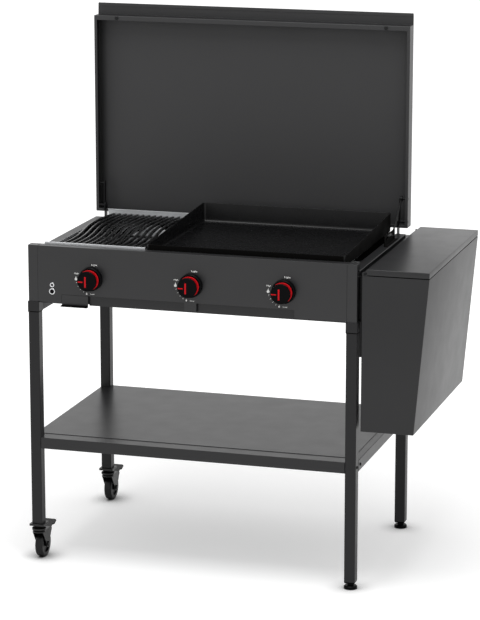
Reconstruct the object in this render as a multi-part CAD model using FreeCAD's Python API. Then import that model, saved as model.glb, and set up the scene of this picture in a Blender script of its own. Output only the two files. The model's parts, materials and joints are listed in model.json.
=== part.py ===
import FreeCAD, Part
import math
import os
from FreeCAD import Vector

# Gas grill on a cart: a wavy grate and a flat griddle over three burners, a swing lid, a side box.
# Millimetres. While it is built, x runs from the cart's middle, y from the leg fronts, z from the floor.

# Cart and sheet metal
cart_width = 918.0
cart_depth = 602.0
leg_size = 30.0
leg_wall = 1.2
leg_corner = 2.5
sheet = 1.2
slip_fit = 0.1
running_fit = 0.06
edge_gap = 0.3

# Heights, from the floor to the control panel's top and then down from there
front_top = 888.0
rail_drop = 22.0
rear_drop = 35.0
rear_step = 28.0
panel_height = 155.0
sleeve_height = 30.0
knob_drop = 83.0
shelf_top = 352.0

# Stand
leg_overlap = 15.0
post_insert = 45.0
post_wall = 1.2
sleeve_wall = 1.2
shelf_rail_height = 31.0
shelf_flange = 55.0
shelf_lap = 10.0
shelf_thickness = 1.2
return_flange = 18.0
screw_head_radius = 4.0
screw_head_height = 2.4
screw_radius = 2.0
screw_length = 9.0
screw_spacing = 35.0

# Levelling feet
foot_height = 20.0
plug_length = 30.0
plug_flange = 4.0
plug_chamfer = 2.5
foot_radius = 18.0
foot_thickness = 9.0
foot_neck_radius = 9.0
foot_stem_radius = 4.0
foot_stem_length = 34.0
foot_travel = 12.0

# Casters
caster_height = 105.0
wheel_radius = 36.5
wheel_width = 22.0
tread_round = 5.0
hub_radius = 24.0
hub_dish = 4.0
caster_trail = 28.0
caster_plate = 42.0
caster_plate_thickness = 6.0
caster_plug_length = 28.0
kingpin_radius = 5.0
neck_radius = 15.0
neck_height = 17.7
race_radius = 19.5
race_height = 5.0
race_rise = 4.0
crown_thickness = 3.0
crown_radius = 18.0
wheel_clearance = 5.0
fork_gap = 2.0
fork_plate = 2.5
fork_boss = 10.0
fork_lug = 6.5
axle_radius = 4.0
axle_head_radius = 7.0
axle_head = 4.0
pedal_pin_radius = 2.5
pedal_barrel_radius = 5.0
pedal_pivot_reach = 24.0
pedal_length = 42.0
pedal_thickness = 4.0
pedal_tilt = 20.0
pedal_flare = 5.0
pedal_grip = 22.0
pedal_swing = 18.0
shoe_radius = 2.0
shoe_gap = 0.4

# Control panel
hem = 8.0
shield_setback = 8.0
shield_thickness = 1.0
shield_drop = 2.0
shield_skirt = 4.5
notch_height = 23.5
tray_left = 96.0
tray_width = 76.0
tab_left = 443.0
tab_width = 34.0
notch_end = 747.0
burner_inset_left = 134.0
burner_inset_right = 158.0
bezel_radius = 33.5
bezel_thickness = 14.0
bezel_chamfer = 2.0
knob_base_radius = 27.0
knob_front_radius = 26.0
knob_reach = 39.5
knob_round = 2.0
knob_push = 3.0
ring_radius = 29.0
ring_thickness = 3.5
shank_radius = 4.0
shank_depth = 39.0
shank_hole = 6.0
button_inset = 69.7
button_rise = 30.8
button_radius = 5.5
button_reach = 5.0
button_length = 24.0
button_travel = 3.0
button_ring_radius = 8.5
button_ring_thickness = 3.0
indicator_gap = 17.7
indicator_radius = 6.3
indicator_thickness = 2.0
module_size = 32.0
module_depth = 34.0

# Gas train
manifold_size = 16.0
manifold_wall = 1.5
manifold_drop = 25.0
manifold_setback = 14.0
manifold_end = 70.0
inlet_block = 20.0
inlet_radius = 6.6
inlet_length = 18.0
supply_radius = 7.5
supply_clearance = 2.5
supply_stub = 4.0
valve_radius = 12.0
valve_length = 42.0
valve_neck = 12.0
orifice_radius = 4.0
orifice_length = 10.0
plug_radius = 7.0
valve_plug_length = 15.0
socket_depth = 11.0
cavity_wall = 5.0
burner_radius = 19.0
burner_wall = 1.2
burner_back = 56.0
mouth_radius = 17.0
throat_radius = 13.0
mouth_length = 12.0
throat_length = 15.0
mouth_lap = 6.0
port_count = 14
port_width = 2.0
port_height = 4.0
burner_rail_width = 20.0
burner_rail_height = 6.0
tent_half_width = 42.0
tent_rise = 20.0
tent_clearance = 27.0
tent_leg_width = 15.0
electrode_offset = 30.0
ceramic_radius = 4.0
ceramic_length = 29.0
needle_radius = 1.0
needle_length = 14.0

# Grease catch
pan_clearance = 4.0
pan_margin = 6.0
tray_lip_reach = 11.0
tray_lip_height = 3.5
tray_face_drop = 4.5
tray_depth = 21.0
tray_length = 428.0
tray_wall = 1.0
tray_gap = 0.5

# Cooking top
bar_width = 20.0
bar_thickness = 3.0
bar_margin = 7.5
frame_setback = 1.3
grate_gap = 10.0
grate_width = 286.0
frame_wall = 1.5
frame_front_rise = 5.0
frame_back_rise = 2.0
frame_hem = 6.0
frame_side_height = 7.0
grate_pitch = 17.0
grate_bar = 7.0
grate_bar_height = 9.0
grate_tie = 12.0
grate_tie_height = 5.0
wave_count = 2
wave_sag = 13.0
griddle_gap = 4.0
griddle_side_gap = 12.0
griddle_plate = 3.0
griddle_back_gap = 38.3
griddle_front_wall = 30.0
griddle_back_wall = 54.0
griddle_foot_radius = 6.0
griddle_foot_height = 4.2

# Lid
lid_side_proud = 1.0
lid_length = 564.0
lid_depth = 41.0
lid_setback = 46.8
lid_handle = 32.0
lid_handle_hem = 9.0
lid_flange = 8.5
lid_front_flange = 13.0
bumper_radius = 5.0
bumper_height = 3.0
bumper_inset = 68.0
hinge_setback = 6.0
hinge_lift = 17.5
hinge_plate = 3.0
hinge_inset = 0.5
hinge_half_width = 10.0
hinge_foot = 15.0
hinge_foot_thickness = 2.0
hinge_pin_radius = 4.0
arm_plate = 2.5
arm_half_width = 6.5
notch_clearance = 1.5
lid_swing = 90.0

# Lid stay
stay_radius = 3.0
stay_rod_radius = 2.4
stay_knuckle_radius = 4.0
stay_eye_radius = 7.0
stay_eye_width = 5.0
stay_inset = 9.4
stay_stud_rise = 64.0
stay_stud_setback = 3.5
stay_head_radius = 5.0
stay_foot_reach = 104.0
stay_foot_rise = 9.5
stay_slot_clearance = 0.5
guide_plate = 2.0
guide_gap = 0.8
guide_margin = 8.0
guide_foot = 8.0
stay_head = 2.5
stay_steps = 8

# Side box
box_gap = 10.0
box_top_width = 180.0
box_bottom_width = 143.0
box_bottom = 438.0
box_drop = 12.0
box_lid_height = 15.5
box_seam = 1.6
box_front = 7.0
box_length = 604.0
box_wall = 1.2
box_lid_inset = 15.3
box_slope_foot = 3.9
box_slope_drop = 11.6
box_hinge_inset = 9.0
box_hinge_drop = 11.7
box_pin_radius = 2.0
box_pin_head = 2.0
box_pin_head_radius = 4.0
box_ear = 2.0
box_ear_radius = 5.0
box_ear_foot = 10.0
box_rim_cut = 6.0
box_wall_rise = 4.4
hanger_height = 120.0
hanger_width = 18.0
hanger_sheet = 1.5
hanger_top_drop = 22.0
hanger_tongue = 5.0
hanger_tongue_length = 94.0

# Places worked out from the sizes above
rail_top = front_top - rail_drop
rear_top = front_top - rear_drop
panel_foot = front_top - panel_height
box_foot = panel_foot - sleeve_height
knob_height = front_top - knob_drop
button_height = panel_foot + button_rise
indicator_height = button_height + indicator_gap
box_lid_top = front_top - box_drop
half_width = cart_width / 2
post_size = leg_size - 2 * leg_wall - 2 * slip_fit
post_inset = (leg_size - post_size) / 2
panel_face = post_inset
inner_x = half_width - post_inset - post_size
inner_front = post_inset + post_size
inner_back = cart_depth - inner_front
wall_x = half_width - post_inset - sheet
leg_x = half_width - leg_size / 2
leg_front = leg_size / 2
leg_back = cart_depth - leg_size / 2
leg_top = box_foot + leg_overlap
sleeve_reach = leg_size / 2 + slip_fit + sleeve_wall
shield_face = panel_face + sheet + shield_setback
shield_back = shield_face + shield_thickness
bar_top = rail_top - sheet
bar_front = inner_front + bar_margin
grate_left = -inner_x + grate_gap
grate_right = grate_left + grate_width
cook_front = inner_front + frame_setback
griddle_left = grate_right + griddle_gap
griddle_right = inner_x - griddle_side_gap
griddle_back = inner_back - griddle_back_gap
griddle_floor = bar_top + griddle_foot_height + griddle_plate
bar_back = griddle_back - bar_width
frame_back = bar_back + bar_width + frame_setback + 2 * frame_hem
burner_places = [(grate_left + grate_right) / 2, griddle_left + burner_inset_left,
                 griddle_right - burner_inset_right]
names = ["left", "middle", "right"]
valve_back = shield_back + valve_length
burner_start = valve_back + orifice_length - mouth_lap
burner_main = burner_start + mouth_length + 2 * throat_length
burner_end = cart_depth - burner_back
burner_rail_top = knob_height - burner_radius - slip_fit
manifold_front = shield_back + manifold_setback
manifold_middle = manifold_front + manifold_size / 2
manifold_top = knob_height - manifold_drop + manifold_size / 2
manifold_right = inner_x - manifold_end / 2
supply_x = manifold_right + inlet_block / 2
supply_z = burner_rail_top + supply_radius + supply_clearance
inlet_start = cart_depth - post_inset + supply_stub
rail_spots = [burner_main + bar_margin, burner_end - bar_margin - burner_rail_width]
tray_x = tray_left - half_width
tray_floor = panel_foot + slip_fit
lid_front = cart_depth - lid_setback
lid_back = lid_front + lid_depth
lid_half = half_width + lid_side_proud
hinge_y = lid_front + hinge_setback
hinge_z = front_top + bumper_height + edge_gap + hinge_setback
lid_foot = hinge_z - hinge_lift
lid_top = lid_foot + lid_length
bracket_x = inner_x + hinge_inset
stay_x = inner_x + stay_inset
box_x = half_width + box_gap
box_wall_top = box_lid_top - box_lid_height - box_seam
box_back = box_front + box_length
box_axis_x = box_x + box_hinge_inset
box_axis_z = box_lid_top - box_hinge_drop
box_ear_top = box_axis_z + box_wall_rise


def block(x0, x1, y0, y1, z0, z1):
    return Part.makeBox(x1 - x0, y1 - y0, z1 - z0, Vector(x0, y0, z0))


def pin(start, end, radius):
    way = end - start
    return Part.makeCylinder(radius, way.Length, start, way)


def along_x(y, z, radius, x0, x1):
    return pin(Vector(x0, y, z), Vector(x1, y, z), radius)


def along_y(x, z, radius, y0, y1):
    return pin(Vector(x, y0, z), Vector(x, y1, z), radius)


def along_z(x, y, radius, z0, z1):
    return pin(Vector(x, y, z0), Vector(x, y, z1), radius)


def prism(points, way):
    outline = Part.makePolygon(points + points[:1])
    return Part.Face(outline).extrude(way)


def side_prism(points, x0, x1):
    return prism([Vector(x0, y, z) for y, z in points], Vector(x1 - x0, 0, 0))


def front_prism(points, y0, y1):
    return prism([Vector(x, y0, z) for x, z in points], Vector(0, y1 - y0, 0))


def turned(points, x, z):
    """Solid of revolution about a line along y, from (y, radius) points."""
    outline = Part.makePolygon([Vector(x, y, z + r) for y, r in points + points[:1]])
    return Part.Face(outline).revolve(Vector(x, 0, z), Vector(0, 1, 0), 360)


def joined(pieces):
    return pieces[0].fuse(pieces[1:]).removeSplitter()


def group(pieces):
    return Part.makeCompound(pieces)


def mirrored(shape):
    return shape.mirror(Vector(0, 0, 0), Vector(1, 0, 0))


def both_sides(shape):
    return group([mirrored(shape), shape])


def rounded_bar(x, y, size, radius, z0, z1):
    bar = block(x - size / 2, x + size / 2, y - size / 2, y + size / 2, z0, z1)
    upright = [e for e in bar.Edges if abs(e.tangentAt(e.FirstParameter).z) > 0.9]
    return bar.makeFillet(radius, upright)


def square_tube(x, y, size, radius, wall, z0, z1):
    bore = rounded_bar(x, y, size - 2 * wall, radius - wall, z0, z1)
    return rounded_bar(x, y, size, radius, z0, z1).cut(bore)


# Stand: legs, sleeves, corner posts, shelf
def screw_spots(leg_y):
    inward = screw_spacing if leg_y < cart_depth / 2 else -screw_spacing
    return [leg_y, leg_y + inward]


def shelf_screw(side, y):
    z = shelf_top - shelf_rail_height / 2
    outer = side * half_width
    head = along_x(y, z, screw_head_radius, outer, outer + side * screw_head_height)
    return head.fuse(along_x(y, z, screw_radius, outer - side * screw_length, outer))


def screw_hole(side, y):
    z = shelf_top - shelf_rail_height / 2
    outer = side * half_width
    return along_x(y, z, screw_radius + slip_fit, outer - side * leg_wall * 2, outer + side)


def leg(side, y, bottom):
    tube = square_tube(side * leg_x, y, leg_size, leg_corner, leg_wall, bottom, leg_top)
    return tube.cut(screw_hole(side, y))


def sleeve(side, y):
    x = side * leg_x
    top = panel_foot - edge_gap
    collar = rounded_bar(x, y, 2 * sleeve_reach, leg_corner, box_foot, top)
    leg_room = rounded_bar(x, y, leg_size + 2 * slip_fit, leg_corner, box_foot, leg_top)
    post_room = rounded_bar(x, y, post_size + 2 * slip_fit, leg_corner - leg_wall, leg_top, top)
    return collar.cut([leg_room, post_room])


def post(side, y, top):
    x = side * leg_x
    start = leg_top - post_insert
    tube = rounded_bar(x, y, post_size, leg_corner - leg_wall, start, top)
    room = post_size - 2 * post_wall
    bore = block(x - room / 2, x + room / 2, y - room / 2, y + room / 2, start, top - post_wall)
    return tube.cut(bore)


def shelf_long_rail(back):
    low = shelf_top - shelf_rail_height
    run = half_width - leg_size
    pieces = [block(-run, run, 0, sheet, low, shelf_top),
              block(-run, run, 0, shelf_flange, shelf_top - sheet, shelf_top),
              block(-run, run, 0, return_flange, low, low + sheet)]
    rail = joined(pieces)
    if back:
        rail = rail.mirror(Vector(0, cart_depth / 2, 0), Vector(0, 1, 0))
    return rail


def shelf_side_rail():
    low = shelf_top - shelf_rail_height
    start = leg_size
    end = cart_depth - leg_size
    inner = half_width - leg_size
    pieces = [block(half_width - sheet, half_width, start, end, low, shelf_top),
              block(inner, half_width, start, end, shelf_top - sheet, shelf_top),
              block(half_width - return_flange, half_width, start, end, low, low + sheet)]
    holes = [screw_hole(1, leg_front + screw_spacing), screw_hole(1, leg_back - screw_spacing)]
    return joined(pieces).cut(holes)


def shelf_panel():
    reach = half_width - leg_size + shelf_lap
    start = shelf_flange - shelf_lap
    return block(-reach, reach, start, cart_depth - start, shelf_top, shelf_top + shelf_thickness)


# Levelling feet under the right legs
def leg_plug(y):
    x = leg_x
    size = leg_size - 2 * leg_wall - 2 * slip_fit
    stem = rounded_bar(x, y, size, leg_corner - leg_wall, foot_height, foot_height + plug_length)
    wide = leg_size / 2
    narrow = wide - plug_chamfer
    low = foot_height - plug_flange
    flange = Part.makeLoft([square_wire(x, y, narrow, low), square_wire(x, y, wide, foot_height)], True)
    bore = along_z(x, y, foot_stem_radius + running_fit, low, foot_height + plug_length)
    return joined([stem, flange]).cut(bore)


def square_wire(x, y, half, z):
    corners = [(-1, -1), (1, -1), (1, 1), (-1, 1), (-1, -1)]
    return Part.makePolygon([Vector(x + half * a, y + half * b, z) for a, b in corners])


def levelling_foot(y):
    x = leg_x
    neck_top = foot_height - plug_flange - edge_gap
    pad = along_z(x, y, foot_radius, 0, foot_thickness)
    rim = [e for e in pad.Edges if abs(e.BoundBox.ZMin - foot_thickness) < edge_gap and e.Closed]
    pad = pad.makeChamfer(plug_chamfer, rim)
    neck = along_z(x, y, foot_neck_radius, foot_thickness, neck_top)
    stem = along_z(x, y, foot_stem_radius, neck_top, neck_top + foot_stem_length)
    return joined([pad, neck, stem])


# Swivel casters under the left legs, trailing backwards
caster_x = -leg_x
crown_bottom = 2 * wheel_radius + wheel_clearance
crown_top = crown_bottom + crown_thickness
fork_inner = wheel_width / 2 + fork_gap
fork_outer = fork_inner + fork_plate
pedal_pivot_z = crown_bottom - pedal_barrel_radius


def caster_mount(y):
    size = leg_size - 2 * leg_wall - 2 * slip_fit
    low = caster_height - caster_plate_thickness
    plate = rounded_bar(caster_x, y, caster_plate, leg_corner, low, caster_height)
    plug = rounded_bar(caster_x, y, size, leg_corner - leg_wall, caster_height,
                       caster_height + caster_plug_length)
    kingpin = along_z(caster_x, y, kingpin_radius, crown_bottom, low)
    return joined([plate, plug, kingpin])


def across_fork(y, z, radius):
    return along_x(y, z, radius, caster_x - fork_outer, caster_x + fork_outer)


def caster_fork(y):
    axle_y = y + caster_trail
    pivot_y = axle_y + pedal_pivot_reach
    pieces = [along_z(caster_x, y, crown_radius, crown_bottom, crown_top),
              block(caster_x - fork_outer, caster_x + fork_outer, y, pivot_y - fork_lug, crown_bottom,
                    crown_top),
              along_z(caster_x, y, neck_radius, crown_top, crown_top + neck_height),
              along_z(caster_x, y, race_radius, crown_top + race_rise, crown_top + race_rise + race_height)]
    for side in (-1, 1):
        x0, x1 = sorted((caster_x + side * fork_inner, caster_x + side * fork_outer))
        outline = [(y - fork_boss, crown_bottom), (axle_y - fork_boss, wheel_radius),
                   (axle_y + fork_boss, wheel_radius), (pivot_y + fork_lug, pedal_pivot_z),
                   (pivot_y, crown_bottom)]
        pieces.append(side_prism(outline, x0, x1))
        pieces.append(along_x(axle_y, wheel_radius, fork_boss, x0, x1))
        pieces.append(along_x(pivot_y, pedal_pivot_z, fork_lug, x0, x1))
    cuts = [along_z(caster_x, y, kingpin_radius + running_fit, 0, caster_height),
            across_fork(axle_y, wheel_radius, axle_radius + slip_fit),
            across_fork(pivot_y, pedal_pivot_z, pedal_pin_radius + slip_fit)]
    return joined(pieces).cut(cuts)


def caster_axle(y):
    axle_y = y + caster_trail
    reach = fork_outer + slip_fit
    bolt = along_x(axle_y, wheel_radius, axle_radius, caster_x - reach, caster_x + reach)
    heads = [along_x(axle_y, wheel_radius, axle_head_radius, caster_x + side * reach,
                     caster_x + side * (reach + axle_head)) for side in (-1, 1)]
    brake_pin = across_fork(axle_y + pedal_pivot_reach, pedal_pivot_z, pedal_pin_radius)
    return group([joined([bolt] + heads), brake_pin])


def caster_wheel(y):
    axle_y = y + caster_trail
    half = wheel_width / 2
    tyre = along_x(axle_y, wheel_radius, wheel_radius, caster_x - half, caster_x + half)
    tyre = tyre.makeFillet(tread_round, [e for e in tyre.Edges if e.Closed])
    dishes = []
    for side in (-1, 1):
        x0 = caster_x + side * (half - hub_dish)
        ring = along_x(axle_y, wheel_radius, hub_radius, x0, caster_x + side * half)
        boss = along_x(axle_y, wheel_radius, 2 * axle_radius, x0, caster_x + side * half)
        dishes.append(ring.cut(boss))
    bore = along_x(axle_y, wheel_radius, axle_radius + running_fit, caster_x - half, caster_x + half)
    return tyre.cut(dishes + [bore])


def caster_pedal(y):
    """Brake lever, drawn up and free: pressed down, its shoe comes to the tread."""
    axle_y = y + caster_trail
    py = axle_y + pedal_pivot_reach
    pz = pedal_pivot_z
    half = fork_inner - edge_gap
    wide = half + pedal_flare
    t = pedal_thickness / 2
    tip = py + pedal_length
    arm = block(caster_x - half, caster_x + half, py, tip, pz - t, pz + t)
    grip = block(caster_x - wide, caster_x + wide, tip - pedal_grip, tip, pz - t, pz + t)
    corners = [e for e in grip.Edges if abs(e.tangentAt(e.FirstParameter).z) > 0.9]
    grip = grip.makeFillet(pedal_flare, corners)
    lever = joined([arm, grip])
    lever.rotate(Vector(caster_x, py, pz), Vector(1, 0, 0), pedal_tilt)
    barrel = along_x(py, pz, pedal_barrel_radius, caster_x - half, caster_x + half)
    centres = math.hypot(py - axle_y, pz - wheel_radius)
    way = math.atan2(wheel_radius - pz, axle_y - py) + math.radians(pedal_swing)
    reach = centres - wheel_radius - shoe_gap - shoe_radius
    shoe = along_x(py + reach * math.cos(way), pz + reach * math.sin(way), shoe_radius,
                   caster_x - half, caster_x + half)
    lever = joined([lever, barrel, shoe])
    return lever.cut(along_x(py, pz, pedal_pin_radius + running_fit, caster_x - half, caster_x + half))


# Burner box: front panel, heat shield, side panels, rear panel, cross bars
def front_panel():
    reach = inner_x - slip_fit
    pieces = [block(-reach, reach, panel_face, panel_face + sheet, panel_foot, front_top),
              block(-reach, reach, panel_face, inner_front, front_top - sheet, front_top),
              block(-reach, reach, panel_face, panel_face + hem, panel_foot, panel_foot + sheet)]
    panel = joined(pieces)
    cuts = [block(tray_x, tab_left - half_width, 0, inner_front, 0, panel_foot + notch_height),
            block(tab_left + tab_width - half_width, notch_end - half_width, 0, inner_front, 0,
                  panel_foot + notch_height),
            along_y(button_inset - half_width, button_height, button_radius + edge_gap, 0, inner_front)]
    cuts += [along_y(x, knob_height, shank_hole, 0, inner_front) for x in burner_places]
    return panel.cut(cuts)


def heat_shield():
    step = leg_x - sleeve_reach - edge_gap
    plate = joined([block(-inner_x, inner_x, shield_face, shield_back, panel_foot + shield_drop,
                          front_top - sheet - shield_drop),
                    block(-step, step, shield_face, shield_back, panel_foot - shield_skirt, panel_foot + shield_drop)])
    cuts = [block(tray_x, tray_x + tray_width, 0, inner_front, 0, panel_foot + notch_height + shield_thickness),
            along_y(button_inset - half_width, button_height, button_radius + edge_gap, 0, inner_front)]
    cuts += [along_y(x, knob_height, shank_hole, 0, inner_front) for x in burner_places]
    return plate.cut(cuts)


def side_panel():
    outer = wall_x + sheet
    step = leg_size / 2 + sleeve_reach + edge_gap
    low_start = inner_back - rear_step
    pieces = [block(wall_x, outer, inner_front, inner_back, panel_foot, rear_top),
              block(wall_x, outer, inner_front, low_start, panel_foot, rail_top),
              block(wall_x, outer, step, cart_depth - step, box_foot, panel_foot),
              block(inner_x, outer, inner_front, low_start, rail_top - sheet, rail_top),
              block(inner_x, outer, low_start, inner_back, rear_top - sheet, rear_top),
              block(inner_x, outer, low_start - sheet, low_start, rear_top - sheet, rail_top),
              block(inner_x, outer, step, cart_depth - step, box_foot, box_foot + sheet)]
    return joined(pieces)


def rear_panel():
    outer = cart_depth - post_inset
    step = half_width - leg_size / 2 - sleeve_reach - edge_gap
    pieces = [block(-inner_x, inner_x, outer - sheet, outer, panel_foot, rear_top),
              block(-step, step, outer - sheet, outer, box_foot, panel_foot),
              block(-inner_x, inner_x, inner_back, outer, rear_top - sheet, rear_top),
              block(-step, step, outer - return_flange, outer, box_foot, box_foot + sheet)]
    return joined(pieces).cut(along_y(supply_x, supply_z, supply_radius + slip_fit / 2, outer - sheet, outer))


def cross_bars():
    flat = [block(-wall_x, wall_x, y, y + bar_width, bar_top - bar_thickness, bar_top)
            for y in (bar_front, bar_back)]
    angles = []
    for y in rail_spots:
        ledge = block(-wall_x, wall_x, y, y + burner_rail_width, burner_rail_top - sheet, burner_rail_top)
        web = block(-wall_x, wall_x, y, y + sheet, burner_rail_top - burner_rail_height, burner_rail_top)
        angles.append(joined([ledge, web]))
    return group(flat + angles)


# Gas train: burners, heat tent, igniter, manifold, valves
def burner_tube(x):
    mouth_end = burner_start + mouth_length
    throat_end = mouth_end + throat_length
    w = burner_wall
    skin = [(burner_start, mouth_radius), (mouth_end, throat_radius), (throat_end, throat_radius),
            (burner_main, burner_radius), (burner_end, burner_radius)]
    outer = turned([(burner_start, 0)] + skin + [(burner_end, 0)], x, knob_height)
    inside = [(y, r - w) for y, r in skin[:-1]] + [(burner_end - w, burner_radius - w)]
    inner = turned([(burner_start, 0)] + inside + [(burner_end - w, 0)], x, knob_height)
    step = (burner_end - burner_main) / (port_count + 1)
    ports = []
    for n in range(port_count):
        y = burner_main + (n + 1) * step
        ports.append(block(x - 2 * burner_radius, x + 2 * burner_radius, y - port_width / 2,
                           y + port_width / 2, knob_height + port_height, knob_height + 2 * port_height))
    return outer.cut([inner] + ports)


def heat_tent():
    x = burner_places[0]
    low = knob_height + tent_clearance
    high = low + tent_rise
    half = tent_half_width
    roof = front_prism([(x - half, low), (x, high), (x + half, low), (x + half, low + sheet * 2),
                        (x, high + sheet * 2), (x - half, low + sheet * 2)],
                       rail_spots[0] - bar_margin, rail_spots[1] + burner_rail_width)
    legs = []
    for y in rail_spots:
        start = y + (burner_rail_width - tent_leg_width) / 2
        for x0 in (x - half, x + half - sheet):
            legs.append(block(x0, x0 + sheet, start, start + tent_leg_width, burner_rail_top, low + sheet))
    return joined([roof] + legs)


def electrode(x):
    y = rail_spots[0] + burner_rail_width / 2
    tip = burner_rail_top + ceramic_length
    ceramic = along_z(x + electrode_offset, y, ceramic_radius, burner_rail_top, tip)
    return ceramic.fuse(along_z(x + electrode_offset, y, needle_radius, tip, tip + needle_length))




def gas_manifold():
    low = manifold_top - manifold_size
    left = burner_places[0] - manifold_end
    back = manifold_front + manifold_size
    tube = block(left, manifold_right, manifold_front, back, low, manifold_top)
    w = manifold_wall
    bore = block(left + w, manifold_right - w, manifold_front + w, back - w, low + w, manifold_top - w)
    grow = (inlet_block - manifold_size) / 2
    fitting = block(manifold_right, manifold_right + inlet_block, manifold_front - grow, back + grow,
                    low - grow, supply_z + inlet_block / 2)
    supply = along_y(supply_x, supply_z, supply_radius, back + grow, inlet_start)
    nipple = along_y(supply_x, supply_z, inlet_radius, inlet_start, inlet_start + inlet_length)
    return joined([tube.cut(bore), fitting, supply, nipple])


def valve_body(x):
    z = knob_height
    barrel = along_y(x, z, valve_radius, shield_back, valve_back)
    neck = block(x - valve_neck / 2, x + valve_neck / 2, manifold_middle - valve_neck / 2,
                 manifold_middle + valve_neck / 2, manifold_top, z)
    orifice = along_y(x, z, orifice_radius, valve_back, valve_back + orifice_length)
    cavity_back = valve_back - cavity_wall
    cavity_front = cavity_back - valve_plug_length - 2 * edge_gap
    cavity = along_y(x, z, plug_radius + running_fit, cavity_front, cavity_back)
    bore = along_y(x, z, shank_radius + running_fit, 0, cavity_front)
    return joined([barrel, neck, orifice]).cut([cavity, bore])


def valve_plug(x):
    back = valve_back - cavity_wall - edge_gap
    front = back - valve_plug_length
    plug = along_y(x, knob_height, plug_radius, front, back)
    return plug.cut(along_y(x, knob_height, shank_radius + running_fit, front, front + socket_depth))


# Controls
knob_back = panel_face - bezel_thickness - knob_push - edge_gap
knob_front = panel_face - knob_reach


def knob(x):
    z = knob_height
    cone = Part.makeCone(knob_base_radius, knob_front_radius, knob_back - knob_front,
                         Vector(x, knob_back, z), Vector(0, -1, 0))
    face_edge = [e for e in cone.Edges if e.Closed and abs(e.BoundBox.YMax - knob_front) < edge_gap]
    cone = cone.makeFillet(knob_round, face_edge)
    seat = along_y(x, z, ring_radius, knob_back - ring_thickness, knob_back)
    seat = seat.cut(along_y(x, z, knob_base_radius - 1, knob_back - ring_thickness, knob_back))
    cone = cone.cut(seat)
    return joined([cone, along_y(x, z, shank_radius, knob_back, shank_depth)])


def knob_ring(x):
    z = knob_height
    ring = along_y(x, z, ring_radius, knob_back - ring_thickness, knob_back)
    return ring.cut(along_y(x, z, knob_base_radius - 1 + running_fit, knob_back - ring_thickness, knob_back))


def knob_bezel(x):
    disc = along_y(x, knob_height, bezel_radius, panel_face - bezel_thickness, panel_face)
    rim = [e for e in disc.Edges if e.Closed and abs(e.BoundBox.YMax - panel_face) > edge_gap]
    disc = disc.makeChamfer(bezel_chamfer, rim)
    return disc.cut(along_y(x, knob_height, shank_hole, 0 - bezel_thickness, inner_front))


def igniter_button():
    x = button_inset - half_width
    start = panel_face - button_reach
    return along_y(x, button_height, button_radius, start, start + button_length)


def button_bezels():
    x = button_inset - half_width
    ring = along_y(x, button_height, button_ring_radius, panel_face - button_ring_thickness, panel_face)
    ring = ring.cut(along_y(x, button_height, button_radius + edge_gap, -button_reach, inner_front))
    stud = along_y(x, indicator_height, indicator_radius, panel_face - indicator_thickness, panel_face)
    return group([ring, stud])


def igniter_module():
    x = button_inset - half_width
    half = module_size / 2
    case = block(x - half, x + half, shield_back, shield_back + module_depth, button_height - half,
                 button_height + half)
    depth = panel_face - button_reach + button_length + button_travel + edge_gap
    return case.cut(along_y(x, button_height, button_radius + running_fit, 0, depth))


# Grease catch
def drip_pan():
    left = tray_x - sheet
    right = tray_x + tray_width + sheet
    low = tray_floor - sheet
    high = panel_foot + notch_height
    end = cart_depth - post_inset - sheet
    channel = block(left, right, shield_back, end, low, high)
    channel = channel.cut(block(tray_x, tray_x + tray_width, 0, cart_depth, tray_floor, high))
    start = manifold_front + manifold_size + pan_margin
    rise = burner_rail_top - burner_rail_height - pan_clearance
    wings = []
    for inner, outer in ((left, grate_left - pan_margin), (right, grate_right - pan_margin)):
        wings.append(front_prism([(inner, high - sheet), (outer, rise - sheet), (outer, rise), (inner, high)],
                                 start, inner_back - pan_margin))
    return joined([channel] + wings)


def grease_tray():
    left = tray_x + tray_gap
    right = tray_x + tray_width - tray_gap
    floor = tray_floor + slip_fit
    top = floor + tray_depth
    start = panel_face + sheet
    w = tray_wall
    tub = block(left, right, start, start + tray_length, floor, top)
    tub = tub.cut(block(left + w, right - w, start + w, start + tray_length - w, floor + w, top))
    face_low = panel_foot - tray_face_drop
    face = block(left, right, panel_face, start, face_low, panel_foot + notch_height - tray_gap)
    lip = block(left, right, panel_face - tray_lip_reach, start, face_low - tray_lip_height, face_low)
    return joined([tub, face, lip])


# Cooking top
def grate_frame():
    w = frame_wall
    x0 = grate_left
    x1 = grate_right
    low = bar_top
    front_high = front_top + frame_front_rise
    back_high = front_top + frame_back_rise
    pieces = [block(x0, x1, cook_front, cook_front + w, low, front_high),
              block(x0, x1, cook_front, cook_front + frame_hem, front_high - w, front_high),
              block(x0, x1, frame_back - w, frame_back, low, back_high),
              block(x0, x1, frame_back - frame_hem, frame_back, back_high - w, back_high),
              block(x0, x0 + w, cook_front, frame_back, low, low + frame_side_height),
              block(x1 - w, x1, cook_front, frame_back, low, low + frame_side_height)]
    return joined(pieces)


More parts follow.
